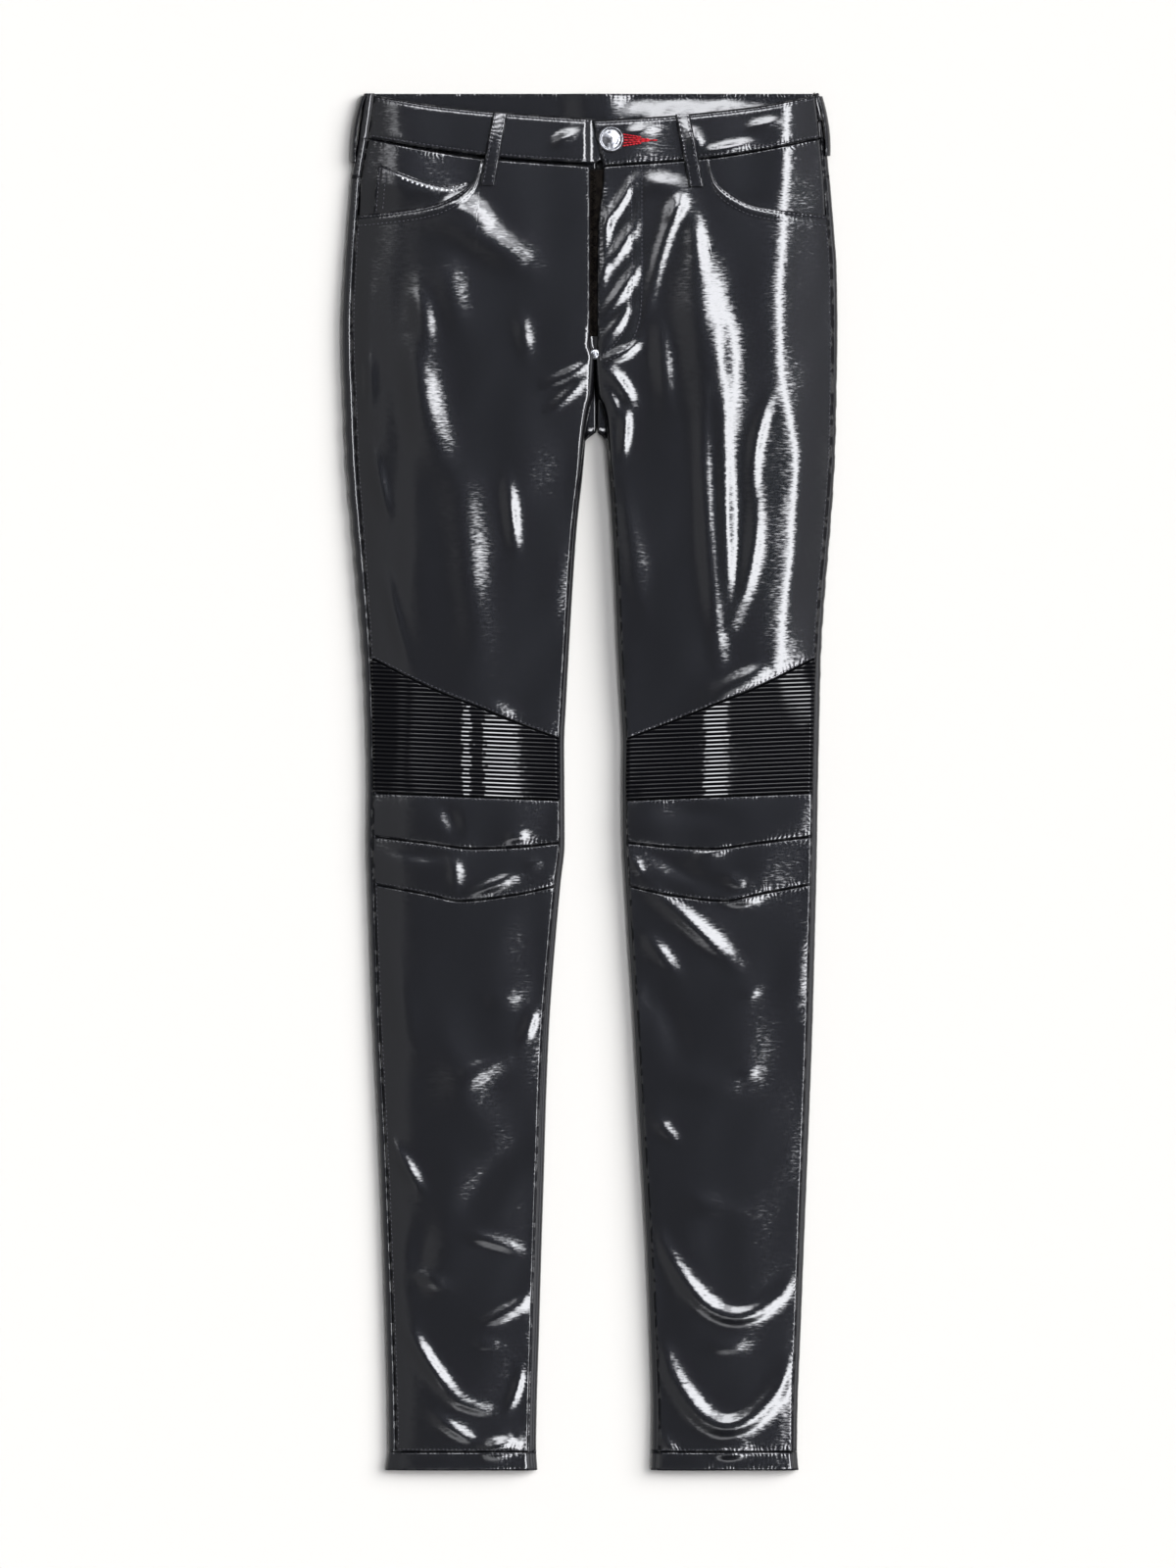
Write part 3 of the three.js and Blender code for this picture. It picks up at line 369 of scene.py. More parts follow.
@dataclass(frozen=True)
class Garment:
    """The surfaces that every piece lies on, worked out from the outline, loft and folds.

    The upper face is a height over the plane. The under face is flat, with a roll at both edges
    that brings the back panel up to the side seams and inseams.
    """

    length: float = 1040.0
    centre_back: float = 5.5
    crotch: float = 260.0
    hem_top: float = 1026.0
    yoke_side: float = 63.0
    yoke_centre: float = 92.0
    back_band: float = 37.0
    panel_wall: float = 1.4
    band_wall: float = 2.4
    band_raise: float = 0.8
    hem_wall: float = 2.0
    loop_wall: float = 1.6
    loop_width: float = 11.0
    coin_wall: float = 1.0
    layer: float = 0.3
    half_gap: float = 0.15
    facet_slope: float = 0.25
    facet_rounding: float = 9.0
    right_facet_rounding: float = 5.5
    right_facets: tuple[tuple[float, float], ...] = (
        (0, 0.25), (215, 0.25), (285, 0.34), (345, 0.34), (420, 0.26),
    )
    right_facet_end: tuple[float, float] = (400, 500)
    edge_round: float = 6.0
    inner_round: float = 4.5
    inner_roll: tuple[float, float] = (205, 245)
    leg_start: float = 165.0
    leg_arch: float = 1.0
    seat_hollow: float = 2.6
    waves: SlowWaves = field(default_factory=SlowWaves)

    def _table(self, rows: Sequence[NamedTuple], column: str) -> SmoothCurve:
        """Make the curve of one named column against down."""
        return SmoothCurve(tuple((row.down, getattr(row, column)) for row in rows))

    def outline(self, side: Side, edge: Edge, down: Array) -> Array:
        """x of the outline at each level."""
        return self._table(OUTLINE, f"{side.word}_{edge.value}")(down)

    def inset(self, side: Side, edge: Edge, down: Array) -> Array:
        """Distance of the seam in from the outline at each level."""
        return self._table(SEAM_INSET, f"{side.word}_{edge.value}")(down)

    def edge_height(self, down: Array) -> Array:
        """Height of the rolled edge."""
        return self._table(LOFT, "edge")(down)

    def fold_height(self, x: Array, down: Array) -> Array:
        """Height that the folds add at points of the upper face.

        Args:
            x: Places across.
            down: Places below the waist edge, of the same shape.

        Returns:
            The summed height of all the folds.
        """
        total = np.zeros(x.shape)
        for fold in FOLDS:
            t = np.linspace(0, 1, FOLD_SAMPLES + 1)[:, None]
            start, bend, end = (np.array(point, float) for point in fold[:3])
            path = start * (1 - t) ** 2 + 2 * bend * t * (1 - t) + end * t * t
            reach = FOLD_REACH * fold.width
            low, high = path.min(axis=0) - reach, path.max(axis=0) + reach
            near = (x > low[0]) & (x < high[0]) & (down > low[1]) & (down < high[1])
            if not near.any():
                continue
            px, pd = x[near], down[near]
            nearest = np.full(px.shape, np.inf)
            along = np.zeros(px.shape)
            for k in range(FOLD_SAMPLES):
                step = path[k + 1] - path[k]
                share = (px - path[k, 0]) * step[0] + (pd - path[k, 1]) * step[1]
                share = np.clip(share / step.dot(step), 0, 1)
                away = np.hypot(
                    px - path[k, 0] - share * step[0], pd - path[k, 1] - share * step[1]
                )
                closer = away < nearest
                nearest = np.where(closer, away, nearest)
                along = np.where(closer, (k + share) / FOLD_SAMPLES, along)
            swell = np.sin(math.pi * (0.08 + 0.84 * along))
            total[near] += fold.rise * swell * np.exp(-((nearest / fold.width) ** 2))
        return total

    def _roll_rise(self, inset: Array, radius: Array) -> Array:
        """Height of a round edge above its middle, at a distance in from the outline."""
        short = np.maximum(0, radius - inset)
        return np.sqrt(np.maximum(0, radius * radius - short * short))

    def _edge_share(self, inset: Array, radius: float) -> Array:
        """Share of the crown's rise that a tightly rounded edge has reached."""
        away = np.clip(1 - inset / radius, 0, 1)
        return np.sqrt(1 - away * away)

    def _facet(self, side: Side, rise: Array, inset: Array, down: Array) -> Array:
        """Share of the crown's rise on the flat facet beside the outer edge.

        Args:
            side: The side of the garment.
            rise: The crown's height above the rolled edge.
            inset: Distance in from the outline.
            down: Levels.

        Returns:
            The share, 1 on the level middle.
        """
        slope, rounding = self.facet_slope, self.facet_rounding
        if side is Side.RIGHT:
            slope, rounding = SmoothCurve(self.right_facets)(down), self.right_facet_rounding
        short = rise / slope - inset
        share = 1 - (short + np.hypot(short, rounding)) * slope / (2 * rise)
        if side is Side.LEFT:
            return share
        below = smooth(*self.right_facet_end, down)
        return blend(share, self._edge_share(inset, self.edge_round), below)

    def upper(self, side: Side, x: Array, down: Array) -> Array:
        """Height of the upper face at points of one side.

        Args:
            side: The side of the garment.
            x: Places across.
            down: Levels.

        Returns:
            The heights.
        """
        x, down = np.broadcast_arrays(np.asarray(x, float), np.asarray(down, float))
        outer = self.outline(side, Edge.OUTER, down)
        inner = self.outline(side, Edge.INNER, down)
        edge = self.edge_height(down)
        rise = self._table(LOFT, "crown")(down) - edge
        outer_inset = np.maximum(0, (outer - x) * side.value)
        inner_inset = np.maximum(0, (x - inner) * side.value)
        leg = smooth(self.leg_start, self.crotch, down)
        inner_roll = smooth(*self.inner_roll, down)
        facet = self._facet(side, rise, outer_inset, down)
        crown = facet * blend(1, self._edge_share(inner_inset, self.inner_round), leg)
        across = (2 * x - outer - inner) / (outer - inner)
        arch = self.leg_arch * leg * (1 - np.clip(across, -1, 1) ** 2)
        rolls = self._roll_rise(outer_inset, edge / 2) + blend(
            edge / 2, self._roll_rise(inner_inset, edge / 2), inner_roll
        )
        fade = smooth(0, FOLD_EDGE_FADE, outer_inset) * blend(
            1, smooth(0, FOLD_EDGE_FADE, inner_inset), inner_roll
        )
        uneven = self.fold_height(x, down) + self.waves(x, down)
        return rolls + (rise - self.leg_arch * leg) * np.maximum(0, crown) + arch + fade * uneven

    def seam_x(self, side: Side, edge: Edge, down: Array) -> Array:
        """x of the side seam or inseam, which above the crotch is the front's own edge.

        Args:
            side: The side of the garment.
            edge: The outer edge for the side seam, the inner one for the inseam.
            down: Levels.

        Returns:
            The places across.
        """
        sign = side.value if edge is Edge.OUTER else -side.value
        inset = self.inset(side, edge, down)
        if edge is Edge.INNER:
            inset = inset * smooth(self.crotch - 30, self.crotch, down)
        return self.outline(side, edge, down) - sign * inset

    def front_x(self, side: Side, share: Array, down: Array) -> Array:
        """x at a share of the front, from the side seam to the inner edge, clear of both.

        Args:
            side: The side of the garment.
            share: 0 at the side seam and 1 at the inner edge.
            down: Levels.

        Returns:
            The places across.
        """
        outer = self.seam_x(side, Edge.OUTER, down) - side.value * self.half_gap
        inner = self.seam_x(side, Edge.INNER, down) + side.value * self.half_gap
        return blend(outer, inner, share)

    def place(self, x: Array, down: Array, height: Array) -> Array:
        """Stack coordinates into points, in millimetres."""
        x, down, height = np.broadcast_arrays(x, down, height)
        return np.stack((x, self.length / 2 - down, height), axis=-1)

    def roll(
        self, side: Side, edge: Edge, degrees: Array, down: Array, proud: Array | float = 0.0
    ) -> Array:
        """Points on the roll at one edge.

        Args:
            side: The side of the garment.
            edge: The outer or the inner edge.
            degrees: 90 on top, 0 at the outline and -90 underneath.
            down: Levels.
            proud: Distance that the points stand out of the roll.

        Returns:
            The points, in millimetres.
        """
        sign = side.value if edge is Edge.OUTER else -side.value
        radius = self.edge_height(down) / 2
        angle = np.radians(degrees)
        centre = self.outline(side, edge, down) - sign * radius
        reach = radius + proud
        x = centre + sign * np.cos(angle) * reach
        return self.place(x, down, np.maximum(0, radius + np.sin(angle) * reach))

    def seam_angle(self, side: Side, edge: Edge, down: Array) -> Array:
        """Angle round the roll at which the seam lies.

        Args:
            side: The side of the garment.
            edge: The outer or the inner edge.
            down: Levels.

        Returns:
            The angles, in degrees.
        """
        radius = self.edge_height(down) / 2
        cosine = np.clip((radius - self.inset(side, edge, down)) / radius, 0, 1)
        return np.degrees(np.arccos(cosine))

    def under_height(self, x: Array, down: Array) -> Array:
        """Height of the under face, lifted over the back loop and at the seat's curve.

        Args:
            x: Places across.
            down: Levels.

        Returns:
            The heights.
        """
        away = np.abs(x - self.centre_back)
        half = self.loop_width / 2
        over_loop = (1 - smooth(half + 1, half + 24, away)) * (1 - smooth(60, 84, down))
        seat = (1 - smooth(6, 24, away)) * smooth(190, self.crotch - 2, down)
        return (self.loop_wall + self.layer) * over_loop + self.seat_hollow * seat

    def fly_height(self, x: Array, down: Array, middle: float) -> Array:
        """Height of the upper face across the fly, where one side's face meets the other's.

        Args:
            x: Places across.
            down: Levels.
            middle: Where across they meet.

        Returns:
            The heights.
        """
        left = self.upper(Side.LEFT, np.minimum(x, middle), down)
        right = self.upper(Side.RIGHT, np.maximum(x, middle), down)
        return np.where(x < middle, left, right)


class FrontLoop(NamedTuple):
    """A front belt loop's middle line, whose ends are given as x and down."""

    side: Side
    top: tuple[float, float]
    foot: tuple[float, float]

    def line(self, level: Array) -> tuple[Array, Array]:
        """x and down at shares of the way down."""
        return blend(self.top[0], self.foot[0], level), blend(self.top[1], self.foot[1], level)


LOOPS = {
    Side.LEFT: FrontLoop(Side.LEFT, (-67.4, 15.6), (-77.0, 70.0)),
    Side.RIGHT: FrontLoop(Side.RIGHT, (70.3, 16.4), (80.6, 71.0)),
}


# Building meshes

UV_PER_MM = 0.01
FINE_STEPS = (0.0, 0.3, 0.6, 0.95, 1.4, 2.0, 2.7, 3.5, 4.6, 6.0, 7.6)
FAR_FROM_EDGES = 20.0


def edge_spaced(span: float, step: float) -> Array:
    """Shares from 0 to 1 over a span, closer together by both ends.

    Args:
        span: The span's size.
        step: The spacing away from the ends.

    Returns:
        The shares.
    """
    fine = np.array(FINE_STEPS)
    middle = np.linspace(fine[-1], span - fine[-1], max(2, round((span - 2 * fine[-1]) / step) + 1))
    return np.concatenate((fine[:-1], middle, (span - fine[:-1])[::-1])) / span


def sink_edges(distance: Array, depth: float = 0.75, reach: float = 1.25) -> Array:
    """Drop of a panel's face close to its edge, where the seam pulls it in."""
    return depth * np.clip(1 - distance / reach, 0, 1) ** 2


def stitch_groove(distance: Array, at: float, depth: float = 0.14, width: float = 0.75) -> Array:
    """Drop of the face along a row of stitches that runs at a distance from the edge."""
    return depth * np.exp(-(((distance - at) / width) ** 2))


def edge_distances(x: Array, down: Array) -> tuple[Array, Array]:
    """Distances of a grid's points to its sides and to its two ends."""
    sides = np.minimum(np.abs(x - x[:, :1]), np.abs(x - x[:, -1:]))
    return sides, np.minimum(down - down[:1], down[-1:] - down)


def no_edges(x: Array) -> tuple[Array, Array]:
    """Distances that keep a small piece clear of puckers."""
    return (np.full(x.shape, FAR_FROM_EDGES),) * 2


@dataclass
class Workshop:
    garment: Garment
    pieces: list[Piece] = field(default_factory=list)

    def cloth(
        self,
        name: str,
        points: Array,
        wall: float,
        finish: Material,
        edges: tuple[Array, Array],
        faces_up: bool = True,
        closed: bool = False,
        rests_on: Sequence[str] = (),
    ) -> None:
        """Make a thin shell of cloth whose outer face is a grid of points.

        Args:
            name: The name of the solid that the piece stands for.
            points: Rows by columns by 3, in millimetres.
            wall: The cloth's thickness.
            finish: Its material.
            edges: Distances to the side edges and to the end edges, for the puckers.
            faces_up: Whether the outer face looks up, at the grid's first column.
            closed: Whether the last column joins the first, as on a tube.
            rests_on: Not used.
        """
        mesh = self._woven(f"cloth_{name}", points, edges)
        if closed:
            ring = bmesh.new()
            ring.from_mesh(mesh)
            bmesh.ops.remove_doubles(ring, verts=ring.verts, dist=0.00001)
            ring.to_mesh(mesh)
            ring.free()
        mesh.update()
        area = self._turn_outwards(mesh, faces_up, closed)
        piece = self.finished(mesh, finish, "leather", name)
        shell = piece.modifiers.new("wall", "SOLIDIFY")
        shell.thickness = wall * MM
        shell.offset = -1

    def _woven(self, name: str, points: Array, edges: tuple[Array, Array]) -> Mesh:
        """Make a grid mesh, with the distances to its edges as its UV map.

        Args:
            name: The piece's name.
            points: Rows by columns by 3, in millimetres.
            edges: Distances to the side edges and to the end edges.

        Returns:
            The mesh.
        """
        rows, columns = points.shape[:2]
        form = bmesh.new()
        bmesh.ops.create_grid(form, x_segments=columns - 1, y_segments=rows - 1, size=1)
        form.loops.layers.uv.new("edge_mm")
        mesh = written(form, name)
        place = np.empty(len(mesh.vertices) * 3)
        mesh.vertices.foreach_get("co", place)
        share = (place.reshape(-1, 3) + 1) / 2
        across = np.rint(share[:, 0] * (columns - 1)).astype(int)
        along = np.rint(share[:, 1] * (rows - 1)).astype(int)
        mesh.vertices.foreach_set("co", (points[along, across] * MM).ravel())
        corners = np.empty(len(mesh.loops), dtype=np.int32)
        mesh.loops.foreach_get("vertex_index", corners)
        spread = np.stack([d[along, across][corners] for d in edges], axis=-1) * UV_PER_MM
        mesh.uv_layers["edge_mm"].uv.foreach_set("vector", spread.astype(np.float32).ravel())
        return mesh

    def _turn_outwards(self, mesh: Mesh, faces_up: bool, closed: bool) -> float:
        """Turn a sheet's faces the right way round.

        Args:
            mesh: The sheet.
            faces_up: Whether an open sheet's outer face looks up.
            closed: Whether the sheet is a tube, whose faces look away from its middle.

        Returns:
            The sheet's area, in square metres.
        """
        count = len(mesh.polygons)
        normals, centres, areas = np.empty(count * 3), np.empty(count * 3), np.empty(count)
        mesh.polygons.foreach_get("normal", normals)
        mesh.polygons.foreach_get("center", centres)
        mesh.polygons.foreach_get("area", areas)
        normals, centres = normals.reshape(-1, 3), centres.reshape(-1, 3)
        outward = centres - centres.mean(axis=0) if closed else np.array([[0, 0, 1.0]])
        right_way = float(((normals * outward).sum(axis=1) * areas).sum()) > 0
        if right_way != (faces_up or closed):
            mesh.flip_normals()
        return float(areas.sum())

    def finished(self, mesh: Mesh, finish: Material, slot: str, node: str = "") -> Piece:
        """Args:
            mesh: The shape, which has the piece's name.
            finish: Its material.
            slot: Not used.
            node: The solid that it stands for, if any.

        Returns:
            The object.
        """
        mesh.shade_smooth()
        mesh.materials.append(finish)
        piece = bpy.data.objects.new(mesh.name, mesh)
        bpy.context.collection.objects.link(piece)
        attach(piece, "root")
        if node:
            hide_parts(node)
        self.pieces.append(piece)
        return piece


def written(form: bmesh.types.BMesh, name: str) -> Mesh:
    """Write a bmesh to a new mesh, and free it.

    Args:
        form: The shape, in metres.
        name: The piece's name.

    Returns:
        The mesh.
    """
    mesh = bpy.data.meshes.new(name)
    form.to_mesh(mesh)
    form.free()
    return mesh


def repeated(shape: bmesh.types.BMesh, name: str, places: Sequence[Matrix]) -> Mesh:
    """Join many placed copies of one small shape in a new mesh, and free the shape.

    Args:
        shape: The shape, in metres.
        name: The piece's name.
        places: Where each copy goes.

    Returns:
        The mesh.
    """
    corners = np.array([(*vert.co, 1.0) for vert in shape.verts])
    faces = [[vert.index for vert in face.verts] for face in shape.faces]
    shape.free()
    matrices = np.array([list(map(tuple, place)) for place in places])
    points = np.einsum("nij,vj->nvi", matrices, corners)[..., :3].reshape(-1, 3)
    every = [
        [corner + first for corner in face]
        for first in range(0, len(points), len(corners))
        for face in faces
    ]
    mesh = bpy.data.meshes.new(name)
    mesh.from_pydata(points, [], every)
    return mesh


# Materials


def linear(hex_colour: str) -> tuple[float, float, float, float]:
    """Turn an sRGB hex colour to linear light.

    Args:
        hex_colour: The colour, as "#rrggbb".

    Returns:
        Its red, green, blue and alpha.
    """
    channels = (int(hex_colour[i : i + 2], 16) / 255 for i in (1, 3, 5))
    light = [c / 12.92 if c <= 0.04045 else ((c + 0.055) / 1.055) ** 2.4 for c in channels]
    return (*light, 1.0)


@dataclass
class Recipe:
    """A material's node tree, with one call that adds a node."""

    name: str
    material: Material = field(init=False)
    shader: Node = field(init=False)
    tree: bpy.types.NodeTree = field(init=False)
    place: Socket = field(init=False)

    def __post_init__(self) -> None:
        """Start the material with its own shader and Object coordinates, in metres."""
        self.material = bpy.data.materials.new(self.name)
        self.material.use_nodes = True
        self.tree = self.material.node_tree
        self.shader = self.tree.nodes["Principled BSDF"]
        self.place = self.add("TexCoord").outputs["Object"]

    def add(self, kind: str, inputs: Inputs = (), **settings: Any) -> Node:
        """Add a node with its settings, input values and links.

        Args:
            kind: The node's type name without "ShaderNode".
            inputs: Values, sockets or nodes for its inputs, in order or by name.
            settings: The node's own properties.

        Returns:
            The node.
        """
        node = self.tree.nodes.new(f"ShaderNode{kind}")
        for key, value in settings.items():
            setattr(node, key, value)
        self.feed(node, inputs)
        return node

    def feed(self, node: Node, inputs: Inputs) -> None:
        """Set or link a node's inputs.

        Args:
            node: The node.
            inputs: As for add. A node that is given links its first output.
        """
        pairs = inputs.items() if isinstance(inputs, dict) else enumerate(inputs)
        for key, value in pairs:
            if isinstance(value, Node):
                value = value.outputs[0]
            if isinstance(value, Socket):
                self.tree.links.new(value, node.inputs[key])
            else:
                node.inputs[key].default_value = value


@dataclass(frozen=True)
class PatentLeather:
    """Leather under a poured lacquer, so black cloth with a mirror-like, slightly uneven coat.

    The lacquer reflects lamps almost sharply. The knitted backing telegraphs through it as
    crosswise lines, which fray the edges of every highlight. They are drawn a little coarser
    than the knit, so that they show. The leather below gives a faint, broad, cool sheen.
    """

    name: str = "patent_leather"
    colour: str = "#050506"
    sheen_tint: str = "#dbe2f5"
    roughness: float = 0.36
    sheen_level: float = 0.07
    lacquer_roughness: float = 0.075
    knit_width: float = 5.0
    knit_line: float = 1.15
    knit_tilt: tuple[float, float, float] = (0.15, 0.07, 0.0)
    ripple_size: float = 13.0
    ripple_depth: float = 0.02
    pucker_pitch: float = 3.4
    pucker_reach: float = 2.4
    pucker_depth: float = 0.12
    pucker_patch: float = 13.0
    pucker_drift: float = 22.0
    # Size, share, reach and bounds of the painted shade patches along sewn edges, where the lacquer
    # is taken off.
    crack_size: float = 7.0
    edge_shade_share: float = 0.85
    edge_shade_reach: tuple[float, float] = (0.9, 2.0)
    shade_patch_bounds: tuple[float, float] = (0.6, 0.46)

    def build(self) -> Material:
        """Make the material.

        Returns:
            The material.
        """
        recipe = Recipe(self.name)
        ripple = recipe.add(
            "TexNoise", {"Vector": recipe.place, "Scale": 1000 / self.ripple_size, "Detail": 1.0}
        )
        raised = recipe.add("Math", (ripple, self.ripple_depth), operation="MULTIPLY")
        height = recipe.add("Math", (raised, self._puckers(recipe)), operation="ADD")
        bump = recipe.add("Bump", {"Height": height, "Strength": 1.0, "Distance": MM})
        frayed = recipe.add("VectorMath", (bump, self._knit(recipe)), operation="ADD")
        normal = recipe.add("VectorMath", (frayed,), operation="NORMALIZE")
        recipe.feed(
            recipe.shader,
            {
                "Base Color": linear(self.colour),
                "Roughness": self.roughness,
                "IOR": 1.5,
                "Specular IOR Level": self.sheen_level,
                "Specular Tint": linear(self.sheen_tint),
                "Coat Weight": self._lacquer(recipe),
                "Coat Roughness": self.lacquer_roughness,
                "Coat IOR": 1.52,
                "Normal": bump,
                "Coat Normal": normal,
            },
        )
        return recipe.material

    def _lacquer(self, recipe: Recipe) -> Node:
        """Share of lacquer left: it is taken off in noisy patches along every sewn edge, which
        breaks the highlight lines there: painted shade.

        Args:
            recipe: The material in the making.

        Returns:
            The node that gives the share.
        """
        spread = recipe.add("UVMap", uv_map="edge_mm")
        distance = recipe.add("SeparateXYZ", (spread,)).outputs
        near = recipe.add("Math", (distance[0], distance[1]), operation="MINIMUM")
        reach = [limit * UV_PER_MM for limit in self.edge_shade_reach]
        edge = recipe.add(
            "MapRange", (near, *reach, self.edge_shade_share, 0.0), interpolation_type="SMOOTHSTEP"
        )
        noise = recipe.add(
            "TexNoise", {"Vector": recipe.place, "Scale": 1000 / self.crack_size, "Detail": 1.0}
        )
        patch = recipe.add("MapRange", (noise, *self.shade_patch_bounds), interpolation_type="SMOOTHSTEP")
        # Lacquer taken off in patches near the edges: painted shade over the edge highlights.
        painted_edge_shade = recipe.add("Math", (edge, patch), operation="MULTIPLY")
        return recipe.add("Math", (1.0, painted_edge_shade), operation="SUBTRACT")

    def _knit(self, recipe: Recipe) -> Node:
        """Tilt of the surface over the knitted backing's crosswise lines.

        Args:
            recipe: The material in the making.

        Returns:
            The node that gives the tilt, as a vector.
        """
        pitch = (1000 / self.knit_width, 1000 / self.knit_line, 1000 / self.knit_line)
        stretched = recipe.add("Mapping", {"Vector": recipe.place, "Scale": pitch})
        noise = recipe.add("TexNoise", {"Vector": stretched, "Scale": 1.0, "Detail": 3.0})
        middle = (0.5, 0.5, 0.5)
        centred = recipe.add("VectorMath", (noise.outputs["Color"], middle), operation="SUBTRACT")
        return recipe.add("VectorMath", (centred, self.knit_tilt), operation="MULTIPLY")

    def _puckers(self, recipe: Recipe) -> Node:
        """Small gathers along the seams, strongest at the edge.

        Args:
            recipe: The material in the making.

        Returns:
            The node that gives the height that the gathers add, in millimetres.
        """
        spread = recipe.add("UVMap", uv_map="edge_mm")
        distance = recipe.add("SeparateXYZ", (spread,)).outputs
        axes = recipe.add("SeparateXYZ", (recipe.place,)).outputs
        patchy = recipe.add(
            "TexNoise", {"Vector": recipe.place, "Scale": 1000 / self.pucker_patch, "Detail": 2.0}
        )
        shift = recipe.add("Math", (patchy, self.pucker_drift), operation="MULTIPLY")
        rate = TAU * 1000 / self.pucker_pitch
        decay = -1 / (UV_PER_MM * self.pucker_reach)
        gathers = []
        for across, along in ((0, 1), (1, 0)):
            near = recipe.add("Math", (distance[across], decay), operation="MULTIPLY")
            fade = recipe.add("Math", (near,), operation="EXPONENT")
            turn = recipe.add("Math", (axes[along], rate), operation="MULTIPLY")
            drifted = recipe.add("Math", (turn, shift), operation="ADD")
            wave = recipe.add("Math", (drifted,), operation="SINE")
            gathers.append(recipe.add("Math", (wave, fade), operation="MULTIPLY"))
        total = recipe.add("Math", gathers, operation="ADD")
        uneven = recipe.add("Math", (total, patchy), operation="MULTIPLY")
        return recipe.add("Math", (uneven, self.pucker_depth), operation="MULTIPLY")


class CordColumn(NamedTuple):
    """How the corded panel looks at a place across, between which the rest is blended."""

    x: float
    gloss: float
    sag: float


@dataclass(frozen=True)
class CordedLeather(PatentLeather):
    """The same leather drawn tight over cords, so black grooves between glossy crests.

    The lacquer is left off the grooves, which is painted shade there, and its share is set column
    by column to how bright the crests look, which is painted light and shade. Where the cords sag
    towards the wearer's left, each crest turns to the lamp and shows as a bright dash.
    """

    name: str = "corded_patent_leather"
    colour: str = "#030304"
    sheen_level: float = 0.0
    knit_tilt: tuple[float, float, float] = (0.05, 0.02, 0.0)
    sag_tilt: float = 0.13
    half_span: float = 170.0
    ragged: float = 9.0
    crest_bounds: tuple[float, float] = (0.6, 0.95)
    # Each column's gloss is set to how bright its crests look: painted light and shade. Its sag
    # tilts the crests' normals.
    columns: tuple[CordColumn, ...] = (
        CordColumn(-166, 0.75, 0), CordColumn(-140, 0.7, 0), CordColumn(-118, 0.55, 0),
        CordColumn(-96, 0.28, 0), CordColumn(-93, 0.28, 0), CordColumn(-91, 1.0, 1),
        CordColumn(-85.5, 1.0, 1), CordColumn(-83.5, 0.3, 0), CordColumn(-77, 0.35, 0),
        CordColumn(-74, 1.0, 1), CordColumn(-54, 1.0, 1), CordColumn(-45, 0.7, 0.3),
        CordColumn(-30, 0.35, 0), CordColumn(26, 0.6, 0), CordColumn(70, 0.35, 0),
        CordColumn(88, 0.4, 0), CordColumn(92, 1.0, 1), CordColumn(104, 1.0, 1),
        CordColumn(112, 0.6, 0.2), CordColumn(140, 0.6, 0), CordColumn(166, 0.65, 0),
    )

    def _lacquer(self, recipe: Recipe) -> Node:
        """Share of lacquer that shows, by the column and by the height on a cord: painted shade in
        the grooves, and painted light and shade by column.

        Args:
            recipe: The material in the making.

        Returns:
            The node that gives the share.
        """
        spread = recipe.add("UVMap", uv_map="edge_mm")
        above = recipe.add("SeparateXYZ", (spread,)).outputs[1]
        rate = math.pi / (UV_PER_MM * CORD_PITCH)
        start = -math.pi * CORD_START / CORD_PITCH
        turns = recipe.add("Math", (above, rate, start), operation="MULTIPLY_ADD")
        wave = recipe.add("Math", (turns,), operation="SINE")
        height = recipe.add("Math", (wave,), operation="ABSOLUTE")
        # No lacquer in the grooves, so they stay black: painted shade.
        painted_groove_shade = recipe.add(
            "MapRange", (height, *self.crest_bounds), interpolation_type="SMOOTHSTEP"
        )
        gloss = self._across(recipe).outputs["Color"]
        return recipe.add("Math", (gloss, painted_groove_shade), operation="MULTIPLY")

    def _across(self, recipe: Recipe) -> Node:
        """Ramp of the columns, with edges that are ragged by the width of a cord.

        Args:
            recipe: The material in the making.

        Returns:
            The ramp's node, whose colour is the gloss and whose alpha is the sag.
        """
        axes = recipe.add("SeparateXYZ", (recipe.place,))
        uneven = recipe.add(
            "TexNoise", {"Vector": recipe.place, "Scale": 1000 / CORD_PITCH, "Detail": 0.0}
        )
        ragged = recipe.add("Math", (uneven, self.ragged * MM, axes), operation="MULTIPLY_ADD")
        share = recipe.add("MapRange", (ragged, -self.half_span * MM, self.half_span * MM))
        ramp = recipe.add("ValToRGB", (share,))
        stops = ramp.color_ramp.elements
        for column in self.columns[1:-1]:
            stops.new((column.x + self.half_span) / (2 * self.half_span))
        for stop, column in zip(stops, self.columns):
            stop.color = (column.gloss,) * 3 + (column.sag,)
        return ramp

    def _knit(self, recipe: Recipe) -> Node:
        """Tilt of the surface over the knit, and where the cords sag.

        Args:
            recipe: The material in the making.

        Returns:
            The node that gives the tilt, as a vector.
        """
        knit = super()._knit(recipe)
        sag = self._across(recipe).outputs["Alpha"]
        tilt = recipe.add("Math", (sag, self.sag_tilt), operation="MULTIPLY")
        lean = recipe.add("CombineXYZ", (tilt,))
        return recipe.add("VectorMath", (knit, lean), operation="ADD")


